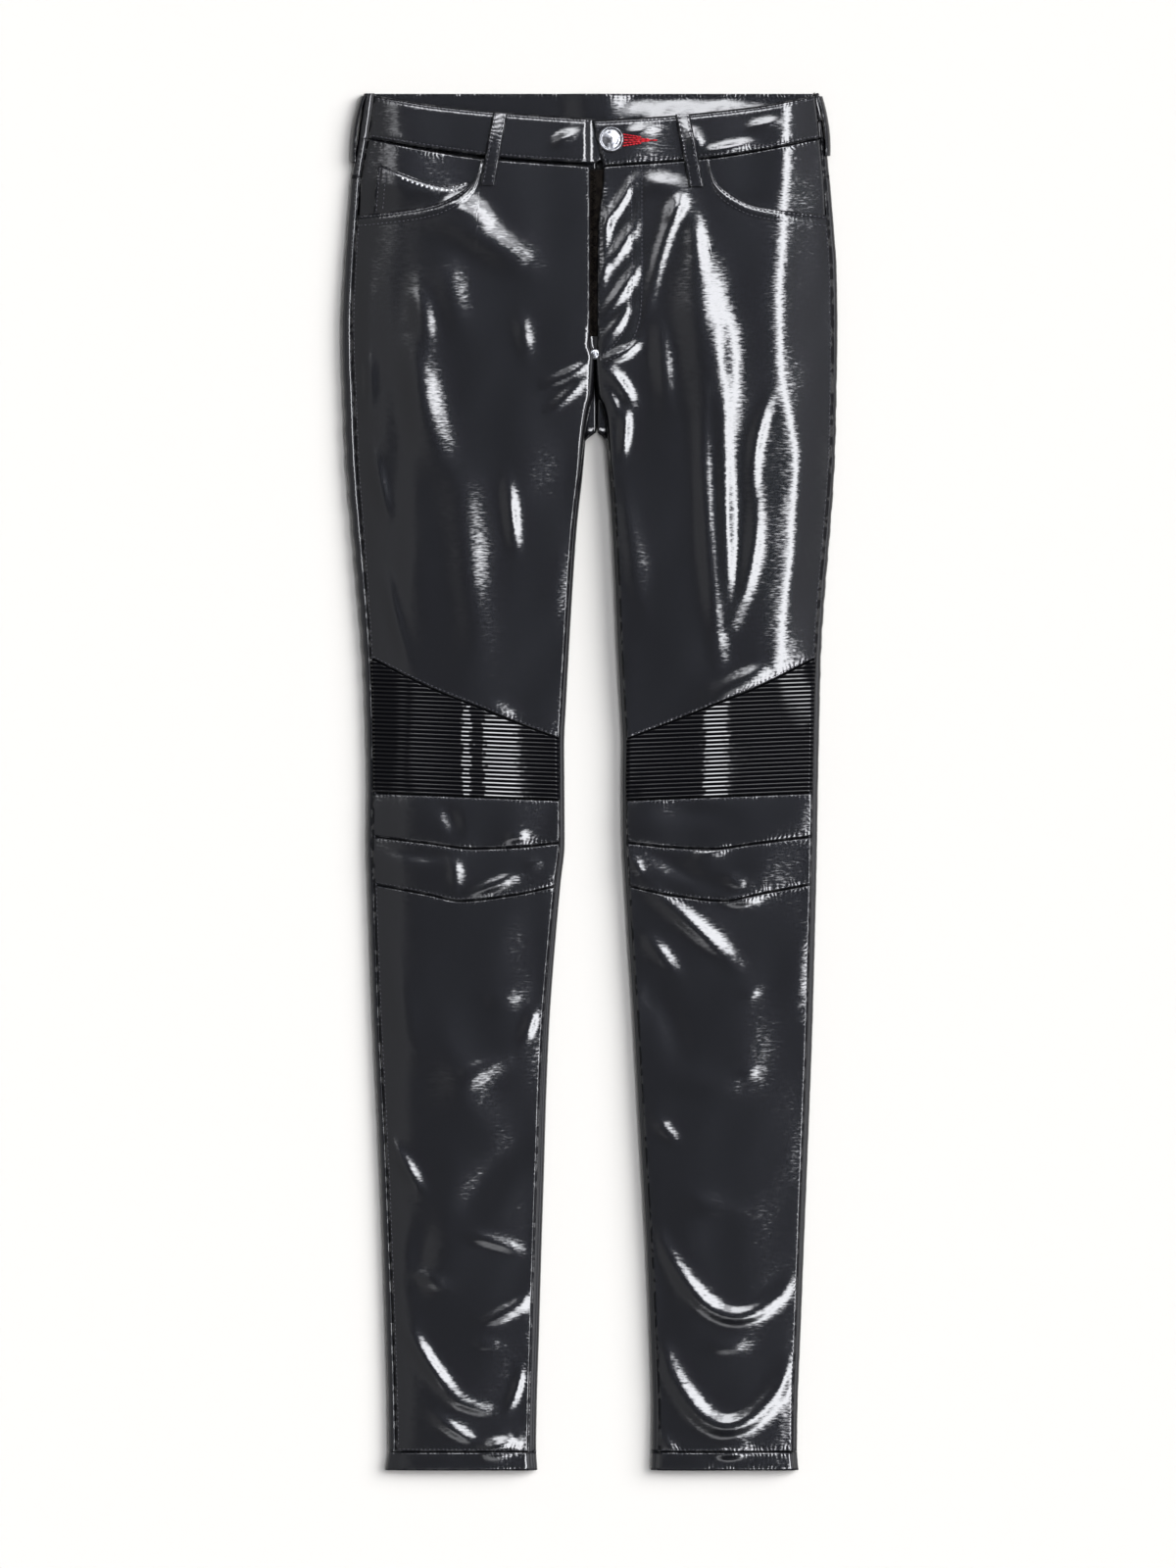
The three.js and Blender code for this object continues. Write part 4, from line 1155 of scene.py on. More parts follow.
@dataclass(frozen=True)
class Thread:
    """Bonded polyester sewing thread, slightly shiny where each stitch arches."""

    name: str
    colour: str
    roughness: float = 0.4
    twist: float = 0.5
    twist_depth: float = 0.1

    def build(self) -> Material:
        """Make the material, with the thread's twist as fine slanted lines.

        Returns:
            The material.
        """
        recipe = Recipe(self.name)
        lines = recipe.add(
            "TexWave",
            {"Vector": recipe.place, "Scale": 1000 / self.twist / 20, "Distortion": 1.0},
            wave_type="BANDS",
            bands_direction="DIAGONAL",
        ).outputs["Fac"]
        depth = self.twist_depth * MM
        bump = recipe.add("Bump", {"Height": lines, "Strength": 0.4, "Distance": depth})
        recipe.feed(
            recipe.shader,
            {
                "Base Color": linear(self.colour),
                "Roughness": self.roughness,
                "Specular IOR Level": 0.25,
                "Normal": bump,
            },
        )
        return recipe.material


@dataclass(frozen=True)
class PlatedMetal:
    """Die-cast zinc with a plated skin, hammered and rubbed bright on its high spots."""

    name: str
    colour: str
    worn_colour: str
    roughness: float
    hammer_size: float = 1.5
    hammer_depth: float = 0.05
    wear_size: float = 4.0
    wear_bounds: tuple[float, float] = (0.36, 0.62)

    def build(self) -> Material:
        """Make the material.

        Returns:
            The material.
        """
        recipe = Recipe(self.name)
        cells = recipe.add(
            "TexNoise", {"Vector": recipe.place, "Scale": 1000 / self.hammer_size, "Detail": 1.5}
        )
        worn = recipe.add(
            "TexNoise", {"Vector": recipe.place, "Scale": 1000 / self.wear_size, "Detail": 3.0}
        )
        tone = recipe.add("ValToRGB", (worn,))
        colours = (self.worn_colour, self.colour)
        for stop, colour, position in zip(tone.color_ramp.elements, colours, self.wear_bounds):
            stop.color = linear(colour)
            stop.position = position
        height = recipe.add("Math", (cells, self.hammer_depth), operation="MULTIPLY")
        bump = recipe.add("Bump", {"Height": height, "Strength": 1.0, "Distance": MM})
        recipe.feed(
            recipe.shader,
            {
                "Base Color": tone,
                "Metallic": 1.0,
                "Roughness": self.roughness,
                "Normal": bump,
            },
        )
        return recipe.material


@dataclass
class Finishes:
    """Every finish on the garment."""

    leather: Material = field(init=False)
    corded: Material = field(init=False)
    black_thread: Material = field(init=False)
    red_thread: Material = field(init=False)
    silver: Material = field(init=False)
    studs: Material = field(init=False)
    brass: Material = field(init=False)

    def __post_init__(self) -> None:
        """Build them all."""
        self.leather = PatentLeather().build()
        self.corded = CordedLeather().build()
        self.black_thread = Thread("black_thread", "#222226", 0.22).build()
        self.red_thread = Thread("red_thread", "#6e0710", 0.5).build()
        self.silver = PlatedMetal("hammered_silver", "#8c8d91", "#4a4b4f", 0.24, 2.4, 0.13).build()
        self.studs = PlatedMetal("satin_studs", "#e4e5e8", "#b4b5b9", 0.5).build()
        # The zip's metal is made near black: painted shade of the deep gap in the fly where it
        # sits.
        self.brass = PlatedMetal("dark_zip_brass", "#0f0d0b", "#060505", 0.5, 0.8, 0.02).build()


# Sewing


@dataclass
class Sewing:
    """Rows of stitches laid on the cloth as small arched threads."""

    shop: Workshop
    finish: Material
    pitch: float = 3.3
    stitch: float = 2.5
    thickness: float = 0.75
    places: list[Matrix] = field(default_factory=list)

    def row(self, path: Array) -> None:
        """Sew along a path.

        Args:
            path: Points on the cloth's face, in millimetres.
        """
        steps = np.linalg.norm(np.diff(path, axis=0), axis=1)
        travelled = np.concatenate(([0], np.cumsum(steps)))
        for stop in np.arange(self.pitch / 2, travelled[-1], self.pitch):
            back, middle, ahead = (
                np.array([np.interp(stop + away, travelled, path[:, k]) for k in range(3)])
                for away in (-1, 0, 1)
            )
            self.thread(middle, ahead - back, self.stitch)

    def thread(self, middle: Array, direction: Array, length: float, dia: float = 0) -> None:
        """Add one stitch, a long round bead with its lower half in the cloth.

        Args:
            middle: Its middle, in millimetres.
            direction: The way it runs.
            length: Its length.
            dia: Its thickness, if it isn't the row's own.
        """
        dia = dia or self.thickness
        turn = Vector(direction).to_track_quat("X", "Z").to_matrix().to_4x4()
        size = Matrix.Diagonal((length / 2 * MM, dia / 2 * MM, dia / 2 * MM, 1))
        self.places.append(Matrix.Translation(Vector(middle) * MM) @ turn @ size)

    def finish_piece(self, name: str) -> None:
        """Write all the stitches as one piece.

        Args:
            name: The piece's name.
        """
        bead = bmesh.new()
        bmesh.ops.create_uvsphere(bead, u_segments=6, v_segments=4, radius=1)
        self.shop.finished(repeated(bead, name, self.places), self.finish, "leather")
        LOG.info("%s: %d stitches", name, len(self.places))


# Front


@dataclass
class FrontPanels:
    """The front of one side, between the waistband and the hem."""

    shop: Workshop
    side: Side
    finishes: Finishes
    mesh_step: float = 2.3
    band_puff: float = 0.8
    cord_rise: float = 1.0
    cord_rows: int = 7
    cord_round: float = 0.72
    least_cord: float = 0.015
    pocket_share: float = 0.52
    pocket_puff: float = 0.45
    facing_tuck: float = 12.0

    def thigh_top(self, share: Array) -> Array:
        """Level of the thigh's upper edge: the pocket opening, then the waist seam."""
        pocket = SmoothCurve(POCKET_EDGE)(share)
        return np.where(share < self.pocket_share, pocket, SmoothCurve(FRONT_BAND_SEAM)(share))

    def panel_points(
        self,
        upper: Callable[[Array], Array],
        lower: Callable[[Array], Array],
        shares: Array,
        levels: Array,
        puff: float = 0.0,
    ) -> tuple[Array, Array, Array]:
        """Points of a panel between two crossing seams.

        Args:
            upper: Level of the upper seam at each share across.
            lower: Level of the lower seam at each share across.
            shares: Shares across, from the side seam.
            levels: Shares of the way down.
            puff: Height that the panel swells by, midway.

        Returns:
            Places across, places down and heights, each rows by columns.
        """
        garment = self.shop.garment
        share, level = np.meshgrid(shares, levels)
        top = upper(share) + garment.half_gap
        down = blend(top, lower(share) - garment.half_gap, level)
        x = garment.front_x(self.side, share, down)
        height = garment.upper(self.side, x, down) + puff * 4 * level * (1 - level)
        return x, down, height

    def make(self, name: str, x: Array, down: Array, height: Array) -> None:
        """Make a panel piece, with its edges drawn down to the seams.

        Args:
            name: The panel's name, without the side.
            x: Places across, rows by columns.
            down: Levels.
            height: Heights.
        """
        sides, ends = edge_distances(x, down)
        drop = np.maximum(sink_edges(sides), sink_edges(ends))
        self.shop.cloth(
            f"{name}_{self.side.word}",
            self.shop.garment.place(x, down, height - drop),
            self.shop.garment.panel_wall,
            self.finishes.leather,
            (sides, ends),
            rests_on=[f"back_leg_{self.side.word}"],
        )

    def thigh(self) -> None:
        """The thigh panel, from the pocket opening and waist seam to the oblique seam."""
        oblique = SmoothCurve(OBLIQUE_SEAM)
        shares = np.sort(np.unique(np.concatenate(
            (edge_spaced(180, self.mesh_step), np.linspace(0.42, self.pocket_share, 14))
        )))
        x, down, height = self.panel_points(
            self.thigh_top, oblique, shares, edge_spaced(410, self.mesh_step)
        )
        below = down - down[:1]
        in_pocket = smooth(self.pocket_share + 0.005, self.pocket_share - 0.005, shares)[None, :]
        for at in POCKET_ROWS:
            height = height - in_pocket * stitch_groove(below, at)
        height = height + in_pocket * self.pocket_puff * np.exp(-(((below - 5) / 3.0) ** 4))
        if self.side is Side.RIGHT:
            for row in FLY_ROWS:
                height = height - stitch_groove(row.distance(x, down), 0.0, 0.3, 0.9)
        self.make("front_thigh", x, down, height)

    def ribs(self) -> None:
        """The corded knee panel: level cords cut off by the oblique seam."""
        garment = self.shop.garment
        seam, oblique = SmoothCurve(RIB_SEAM), SmoothCurve(OBLIQUE_SEAM)
        fine = np.linspace(0, 1, 1201)
        tallest = float(seam(0) - oblique(0))
        above = np.arange(garment.half_gap, tallest + 1.3, CORD_PITCH / self.cord_rows)
        clear = seam(fine)[None, :] - above[:, None] - oblique(fine)[None, :] > 0.18
        ends = np.array([fine[row].max() if row.any() else 0 for row in clear])
        above, ends = above[ends > self.least_cord], ends[ends > self.least_cord]
        share = edge_spaced(140, self.mesh_step)[None, :] * ends[:, None]
        down = seam(share) - above[:, None]
        x = garment.front_x(self.side, share, down)
        turn = (above / CORD_PITCH)[:, None]
        cord = np.abs(np.sin(math.pi * turn)) ** self.cord_round
        sides = edge_distances(x, down)[0]
        ends_away = np.broadcast_to(above[:, None], x.shape)
        calm = smooth(0, 2.5, sides)
        height = garment.upper(self.side, x, down) + self.cord_rise * (cord * calm - 0.1)
        drop = np.maximum(sink_edges(sides), sink_edges(ends_away, 0.5))
        self.shop.cloth(
            f"knee_ribs_{self.side.word}",
            garment.place(x, down, height - drop),
            garment.panel_wall,
            self.finishes.corded,
            (sides, ends_away + CORD_START),
            rests_on=[f"back_leg_{self.side.word}"],
        )

    def knee_bands(self) -> None:
        """The two plain bands under the ribs."""
        seams = [SmoothCurve(rows) for rows in (RIB_SEAM, KNEE_SEAM, SHIN_SEAM)]
        for name, upper, lower in zip(("upper", "lower"), seams, seams[1:]):
            grid = self.panel_points(
                upper, lower, edge_spaced(140, 2.0), edge_spaced(37, 1.8), self.band_puff
            )
            self.make(f"knee_band_{name}", *grid)

    def shin(self) -> None:
        """The lower leg, down to the hem's turned edge."""
        hem_top = self.shop.garment.hem_top
        grid = self.panel_points(
            SmoothCurve(SHIN_SEAM),
            lambda share: np.full(share.shape, hem_top),
            edge_spaced(125, self.mesh_step),
            edge_spaced(425, self.mesh_step),
        )
        self.make("shin", *grid)

    def facing_drop(self, share: Array, down: Array) -> Array:
        """Depth of the pocket facing under the thigh panel's face.

        Args:
            share: Shares across from the side seam.
            down: Levels.

        Returns:
            The depths.
        """
        garment = self.shop.garment
        layers = garment.coin_wall + garment.layer if self.side is Side.LEFT else 0.0
        full = garment.panel_wall + garment.layer + layers + 0.1
        opening = 1 - smooth(0, 26, SmoothCurve(POCKET_EDGE)(share) - down)
        return full * np.maximum(opening, smooth(0.0, 0.5, share))

    def pocket_facing(self) -> None:
        """The facing inside the pocket's opening."""
        garment = self.shop.garment
        shares = np.linspace(0, 0.57, 52)
        share, level = np.meshgrid(shares, edge_spaced(50, 2.0))
        top = SmoothCurve(FRONT_BAND_SEAM)(share) + garment.half_gap
        down = blend(top, self.thigh_top(share) + self.facing_tuck, level)
        x = garment.front_x(self.side, share, down)
        height = garment.upper(self.side, x, down) - self.facing_drop(share, down)
        self.make("pocket_facing", x, down, height)

    def coin_pocket(self) -> None:
        """The small pocket that lies on the facing."""
        garment = self.shop.garment
        shares = blend(0.07, 0.475, edge_spaced(70, 1.6))
        share, level = np.meshgrid(shares, edge_spaced(36, 1.6))
        top = SmoothCurve(COIN_POCKET_TOP)(share)
        bottom = SmoothCurve(POCKET_EDGE)(share) + self.facing_tuck - 4
        down = blend(top, bottom, level)
        x = garment.front_x(self.side, share, down)
        lift = garment.layer + garment.coin_wall - self.facing_drop(share, down)
        sides, ends = edge_distances(x, down)
        left = np.abs(x - x[:, :1])
        groove = stitch_groove(down - down[:1], 2.0, 0.2)
        groove = groove + stitch_groove(left, 1.8, 0.2) + stitch_groove(left, 6.4, 0.2)
        height = garment.upper(self.side, x, down) + lift - groove - sink_edges(ends, 0.3, 1.0)
        self.shop.cloth(
            "coin_pocket",
            garment.place(x, down, height),
            garment.coin_wall,
            self.finishes.leather,
            (sides, ends),
            rests_on=["pocket_facing_left"],
        )


@dataclass(frozen=True)
class StitchLine:
    """A smooth line across the cloth, as (x, down) points."""

    points: tuple[tuple[float, float], ...]

    def path(self, step: float = 1.0) -> Array:
        """Points along the line, rounded at its bends.

        Args:
            step: Their spacing, in millimetres.

        Returns:
            Rows of x and down.
        """
        corners = np.array(self.points, float)
        for _ in range(4):
            first = blend(corners[:-1], corners[1:], 0.25)
            second = blend(corners[:-1], corners[1:], 0.75)
            cut = np.stack((first, second), axis=1).reshape(-1, 2)
            corners = np.concatenate((corners[:1], cut, corners[-1:]))
        travelled = np.concatenate(
            ([0], np.cumsum(np.linalg.norm(np.diff(corners, axis=0), axis=1)))
        )
        stops = np.arange(0, travelled[-1], step)
        return np.stack([np.interp(stops, travelled, corners[:, k]) for k in (0, 1)], axis=1)

    def distance(self, x: Array, down: Array) -> Array:
        """Distance of points of the cloth to the line, or infinity well away from it.

        Args:
            x: Places across.
            down: Levels.

        Returns:
            The distances.
        """
        nearest = np.full(x.shape, np.inf)
        path = self.path(2.0)
        low, high = path.min(axis=0) - 6, path.max(axis=0) + 6
        near = (x > low[0]) & (x < high[0]) & (down > low[1]) & (down < high[1])
        for px, pd in path:
            nearest[near] = np.minimum(nearest[near], np.hypot(x[near] - px, down[near] - pd))
        return nearest


# The curved double row that holds the fly's facing, on the right front.
FLY_ROWS = (
    StitchLine(((31.5, 58), (32, 110), (32.5, 150), (29.5, 176), (18, 192), (8.5, 199))),
    StitchLine(((39.5, 57), (39.5, 110), (39.6, 160), (36, 182), (24, 198), (10, 204))),
)


# Back


@dataclass
class BackPanels:
    """The back of one side: yoke, leg and hem."""

    shop: Workshop
    side: Side
    finishes: Finishes
    roll_steps: int = 15
    flat_steps: int = 14
    mesh_step: float = 3.4
    pucker_rise: float = 0.55
    seam_calm: float = 30.0

    def columns(self) -> int:
        """Number of columns from the side seam round to the inner edge."""
        return 2 + 2 * self.roll_steps + self.flat_steps

    def gather(self, down: Array) -> Array:
        """Unevenness of the outer roll, strongest beside the thigh.

        Args:
            down: Levels.

        Returns:
            Distances out of the roll.
        """
        window = smooth(190, 250, down) * (1 - smooth(430, 470, down))
        calm = 0.25 + 0.75 * window
        waves = np.sin(down * TAU / 23 + 1.1 * np.sin(down / 31)) + 0.6 * np.sin(down * TAU / 9.7)
        strength = self.pucker_rise * (1.0 if self.side is Side.LEFT else 0.6)
        return strength * calm * (waves - 1.2) / 1.6

    def point(self, column: int, down: Array) -> Array:
        """Points of one column at given levels.

        Args:
            column: 0 at the side seam, the last at the inner edge.
            down: Levels.

        Returns:
            The points, in millimetres.
        """
        garment = self.shop.garment
        if column == 0:
            x = garment.seam_x(self.side, Edge.OUTER, down) + self.side.value * garment.half_gap
            height = garment.upper(self.side, x, down) - sink_edges(np.zeros(down.shape))
            return garment.place(x, down, height)
        if column <= self.roll_steps:
            turn = blend(0.985, -1.0, ((column - 1) / (self.roll_steps - 1)) ** 0.9)
            span = garment.seam_angle(self.side, Edge.OUTER, down) if turn > 0 else 90.0
            proud = self.gather(down) * max(0.0, math.cos(math.radians(90 * turn)))
            return garment.roll(self.side, Edge.OUTER, turn * span, down, proud)
        if column <= self.roll_steps + self.flat_steps:
            share = (column - self.roll_steps) / (self.flat_steps + 1)
            first = self.point(self.roll_steps, down)
            last = self.point(self.roll_steps + self.flat_steps + 1, down)
            x = blend(first[..., 0], last[..., 0], share)
            return garment.place(x, down, garment.under_height(x, down))
        return self._inner_point(column - self.roll_steps - self.flat_steps - 1, down)

    def _inner_point(self, index: int, down: Array) -> Array:
        """Points by the centre back above the crotch, and on the inner roll below it.

        Args:
            index: 0 on the under face, the last at the inner edge.
            down: Levels.

        Returns:
            The points, in millimetres.
        """
        garment = self.shop.garment
        steps = self.roll_steps
        on_edge = index == steps
        from_centre = blend(24.0, 0.5, index / steps) if not on_edge else garment.half_gap
        x = garment.centre_back + self.side.value * from_centre
        seat = garment.place(x, down, garment.under_height(np.full(down.shape, x), down))
        if on_edge:
            seam = garment.seam_x(self.side, Edge.INNER, down) - self.side.value * garment.half_gap
            height = garment.upper(self.side, seam, down) - sink_edges(np.zeros(down.shape))
            leg = garment.place(seam, down, height)
        else:
            turn = blend(-1.0, 0.98, index / (steps - 1))
            span = garment.seam_angle(self.side, Edge.INNER, down) if turn > 0 else 90.0
            leg = garment.roll(self.side, Edge.INNER, turn * span, down)
        round_share = smooth(garment.crotch - 5, garment.crotch + 3, down)[..., None]
        return blend(seat, leg, round_share)

    def grid(
        self, upper: Callable[[int], float], lower: Callable[[int], float], levels: Array
    ) -> Array:
        """Points between two slanting seams.

        Args:
            upper: Level of the upper seam at each column.
            lower: Level of the lower seam at each column.
            levels: Shares of the way down.

        Returns:
            The points, rows by columns.
        """
        gap = self.shop.garment.half_gap
        return np.stack([
            self.point(column, blend(upper(column) + gap, lower(column) - gap, levels))
            for column in range(self.columns())
        ], axis=1)

    def yoke_seam(self, column: int) -> float:
        """Level of the seam under the yoke.

        Args:
            column: The column, from the side seam.

        Returns:
            The level.
        """
        garment = self.shop.garment
        across = min(1.0, max(0.0, (column - 8) / (self.columns() - 9)))
        return float(blend(garment.yoke_side, garment.yoke_centre, across))

    def band_seam(self, column: int) -> float:
        """Level of the seam under the back band."""
        across = min(1.0, column / self.roll_steps)
        return float(blend(FRONT_BAND_SEAM[0][1], self.shop.garment.back_band, across))

    def _cloth(self, name: str, points: Array) -> None:
        """Make a piece of the back from its grid.

        Args:
            name: The piece's name, without the side.
            points: Rows by columns by 3, in millimetres.
        """
        garment = self.shop.garment
        steps = np.linalg.norm(np.diff(points, axis=1), axis=2)
        travelled = np.concatenate((np.zeros((points.shape[0], 1)), np.cumsum(steps, 1)), axis=1)
        level = points[:, :, 1]
        calm = self.seam_calm * (level > garment.length / 2 - garment.crotch)
        sides = np.minimum(travelled, travelled[:, -1:] - travelled + calm)
        ends = np.minimum(level[:1] - level, level - level[-1:])
        self.shop.cloth(
            f"{name}_{self.side.word}", points, garment.panel_wall, self.finishes.leather,
            (sides, ends), faces_up=False,
        )

    def yoke(self) -> None:
        """The yoke between the back band and the back leg."""
        points = self.grid(self.band_seam, self.yoke_seam, edge_spaced(45, 4.0))
        self._cloth("back_yoke", points)

    def leg(self) -> None:
        """The back leg from the yoke to the hem."""
        garment = self.shop.garment
        span = garment.hem_top - garment.yoke_centre
        points = self.grid(
            self.yoke_seam, lambda column: garment.hem_top, edge_spaced(span, self.mesh_step)
        )
        self._cloth("back_leg", points)

    def hem(self) -> None:
        """The turned-up hem, all round the leg."""
        garment = self.shop.garment
        top = garment.hem_top + garment.half_gap
        downs = blend(top, garment.length, edge_spaced(14, 1.0))
        downs = np.unique(np.clip(downs, top, garment.length))
        back = [self.point(column, downs) for column in range(self.columns())]
        shares = np.linspace(1, 0, 60)[1:-1]
        xs = [garment.front_x(self.side, share, downs) for share in shares]
        front = [garment.place(x, downs, garment.upper(self.side, x, downs)) for x in xs]
        ring = np.stack([*back, *front, back[0]], axis=1)
        away = np.minimum(downs - downs[0], downs[-1] - downs)[:, None]
        above = ring[:, :, 2] > ring[:, :, 2].mean()
        ring[:, :, 2] -= np.where(above, sink_edges(away, 0.55, 1.6), 0)
        ends = np.broadcast_to(away, ring.shape[:2])
        self.shop.cloth(
            f"hem_{self.side.word}", ring, garment.hem_wall, self.finishes.leather,
            (ends + self.seam_calm, ends), closed=True,
        )


# Waist


@dataclass
class Waist:
    """The waistband, its loops, and the fly's fastening."""

    shop: Workshop
    finishes: Finishes
    left_end: float = 34.0
    right_end_top: float = 1.9
    right_end_bottom: float = 10.4
    band_meeting: float = 0.4
    lap_rise: float = 1.3
    lap_start: float = 26.0
    lap_fade: float = 42.0
    slack_depth: float = 2.7
    slack_middle: float = 78.0
    slack_reach: tuple[float, float] = (22.0, 90.0)
    loop_bow: float = 1.2
    stud_count: int = 11
    stud_size: tuple[float, float, float] = (1.05, 1.05, 0.5)

    def band_rise(self, side: Side, x: Array) -> Array:
        """Height of a front band above the panels, with its right end lapped on top.

        Args:
            side: The side that the band starts from.
            x: Places across.

        Returns:
            The heights.
        """
        garment = self.shop.garment
        if side is Side.RIGHT:
            lap = 1 - smooth(self.lap_start, self.lap_start + self.lap_fade, x)
            return garment.band_raise + self.lap_rise * lap
        stack = garment.band_wall + garment.layer + 0.1 - self.lap_rise
        return garment.band_raise - stack * smooth(-3.6, 1.4, x)

    def band_grid(self, side: Side, shares: Array, levels: Array) -> tuple[Array, Array, Array]:
        """Find the points of a front band.

        Args:
            side: The side that it starts from.
            shares: Shares across, from the side seam.
            levels: Shares of the way down.

        Returns:
            Places across, places down and heights, each rows by columns.
        """
        garment = self.shop.garment
        top, seam = SmoothCurve(FRONT_BAND_TOP), SmoothCurve(FRONT_BAND_SEAM)
        share, level = np.meshgrid(shares, levels)
        start = garment.seam_x(side, Edge.OUTER, top(share)) - side.value * garment.half_gap
        tuck = np.zeros(share.shape)
        if side is Side.LEFT:
            tuck = 3 * smooth(2, 12, blend(start, self.left_end, share))
        down = blend(top(share) + tuck, seam(share) - garment.half_gap - tuck, level)
        outer = garment.seam_x(side, Edge.OUTER, down) - side.value * garment.half_gap
        end = self.left_end
        if side is Side.RIGHT:
            end = blend(self.right_end_top, self.right_end_bottom, level)
        x = blend(outer, end, share)
        height = garment.fly_height(x, down, self.band_meeting) + self.band_rise(side, x)
        return x, down, height

    def front_band(self, side: Side) -> None:
        """One half of the front waistband.

        Args:
            side: The side that it starts from.
        """
        garment = self.shop.garment
        x, down, height = self.band_grid(side, edge_spaced(185, 2.0), edge_spaced(34, 1.7))
        sides, ends = edge_distances(x, down)
        groove = stitch_groove(down - down[:1], 2.6) + stitch_groove(down[-1:] - down, 2.4)
        drop = np.maximum(sink_edges(sides, 0.9, 2.2), sink_edges(ends, 0.9, 2.0))
        points = garment.place(x, down, height - groove - drop)
        self.shop.cloth(
            f"waistband_{side.word}", points, garment.band_wall, self.finishes.leather,
            (sides, ends), rests_on=["waistband_back"],
        )

    def back_band(self) -> None:
        """The back waistband, whose inner face shows above the front's dip."""
        garment = self.shop.garment
        levels = edge_spaced(37, 2.0)
        panels = [BackPanels(self.shop, side, self.finishes) for side in Side]
        edges = [self._rolled_ends(back, levels) for back in panels]
        first, last = (side[-1][:, 0].mean() for side in edges)
        down = levels * (garment.back_band - garment.half_gap)
        flat = []
        for x in np.linspace(first, last, 150)[1:-1]:
            place = np.full(down.shape, x)
            height = garment.under_height(place, down) + self._slack(x, down)
            flat.append(garment.place(place, down, height))
        points = np.stack([*edges[0], *flat, *edges[1][::-1]], axis=1)
        ends = np.broadcast_to(
            np.minimum(down - down[0], down[-1] - down)[:, None], points.shape[:2]
        )
        self.shop.cloth(
            "waistband_back", points, garment.band_wall, self.finishes.leather,
            (ends + panels[0].seam_calm, ends), faces_up=False,
        )

    def _rolled_ends(self, back: BackPanels, levels: Array) -> list[Array]:
        """Columns of the back band that go round one outer edge.

        Args:
            back: The back of that side.
            levels: Shares of the way down.

        Returns:
            The columns' points, from the side seam to the under face.
        """
        garment = self.shop.garment
        columns = []
        for column in range(back.roll_steps + 1):
            points = back.point(column, levels * (back.band_seam(column) - garment.half_gap))
            points[:, 2] += garment.band_raise * (1 - column / back.roll_steps)
            columns.append(points)
        return columns

    def _slack(self, x: float, down: Array) -> Array:
        """Height of the loose inner face of the back band, on the right of the picture.

        Args:
            x: The place across.
            down: Levels.

        Returns:
            The heights.
        """
        near, far = self.slack_reach
        swell = smooth(far, near, abs(x - self.slack_middle)) * smooth(1, 23, down)
        ripple = 1 + 0.1 * np.sin(x / 5.5 + down / 6)
        calm = 1 - smooth(26, self.shop.garment.back_band - 1, down)
        return self.slack_depth * swell * ripple * calm

    def loop_lift(self, level: Array, down: Array) -> Array:
        """Height of a front loop's face above the panels, along its middle.

        Args:
            level: Shares of the way down the loop.
            down: Levels.

        Returns:
            The heights.
        """
        garment = self.shop.garment
        on_band = garment.band_raise * (1 - smooth(52, 58, down)) + 0.5
        bow = self.loop_bow * np.sin(math.pi * level)
        return on_band + bow + 2 * garment.layer + garment.loop_wall

    def front_loop(self, loop: FrontLoop) -> None:
        """A belt loop that stands off the front band.

        Args:
            loop: Its middle line.
        """
        garment = self.shop.garment
        across, level = np.meshgrid(edge_spaced(garment.loop_width + 8, 1.2), edge_spaced(55, 1.4))
        middle, down = loop.line(level)
        x = middle + (across - 0.5) * garment.loop_width
        edge = np.minimum(across, 1 - across) * garment.loop_width
        rounded = sink_edges(edge, 0.6, 1.6) + stitch_groove(edge, 2.2, 0.1, 0.5)
        height = garment.upper(loop.side, x, down) + self.loop_lift(level, down) - rounded
        self.shop.cloth(
            f"belt_loop_front_{loop.side.word}", garment.place(x, down, height),
            garment.loop_wall, self.finishes.leather, (edge, no_edges(x)[1]),
            rests_on=[f"waistband_{loop.side.word}"],
        )

    def side_loop(self, side: Side, start: float, end: float, bow: float) -> None:
        """A belt loop over the side, bowed out past the outline.

        Args:
            side: The side it is on.
            start: Level of its upper end.
            end: Level of its lower end.
            bow: Distance that it bows out.
        """
        garment = self.shop.garment
        turn, level = np.meshgrid(edge_spaced(18, 1.0), edge_spaced(50, 1.4))
        down = blend(start, end, level)
        degrees = blend(70.0, -34.0, turn)
        edge = np.minimum(turn, 1 - turn) * garment.loop_width
        proud = garment.layer + garment.loop_wall + 0.4 - sink_edges(edge, 0.5, 1.6)
        points = garment.roll(side, Edge.OUTER, degrees, down, proud)
        points[..., 0] += side.value * bow * np.sin(math.pi * level) ** 0.8
        self.shop.cloth(
            f"belt_loop_side_{side.word}", points, garment.loop_wall,
            self.finishes.leather, (edge, no_edges(edge)[1]),
        )

    def back_loop(self) -> None:
        """The loop at the centre back, flat under the band."""
        garment = self.shop.garment
        across, level = np.meshgrid(edge_spaced(18, 1.2), edge_spaced(55, 2.5))
        x = garment.centre_back + (across - 0.5) * garment.loop_width
        points = garment.place(x, blend(1.0, 56.0, level), np.zeros(x.shape))
        self.shop.cloth(
            "belt_loop_back", points, garment.loop_wall, self.finishes.leather, no_edges(x),
            faces_up=False,
        )

    def fly(self) -> None:
        """The shield behind the zip."""
        garment = self.shop.garment
        share, level = np.meshgrid(np.linspace(0, 1, 22), np.linspace(0, 1, 60))
        x = blend(-15.0, 27.0, share)
        down = blend(57.0, 196.0, level)
        drop = garment.panel_wall + 0.8 + 3 * garment.layer
        height = garment.fly_height(x, down, garment.centre_back) - drop
        self.shop.cloth(
            "fly_shield", garment.place(x, down, height), 1.2, self.finishes.leather,
            no_edges(x), rests_on=["fly_zip"],
        )

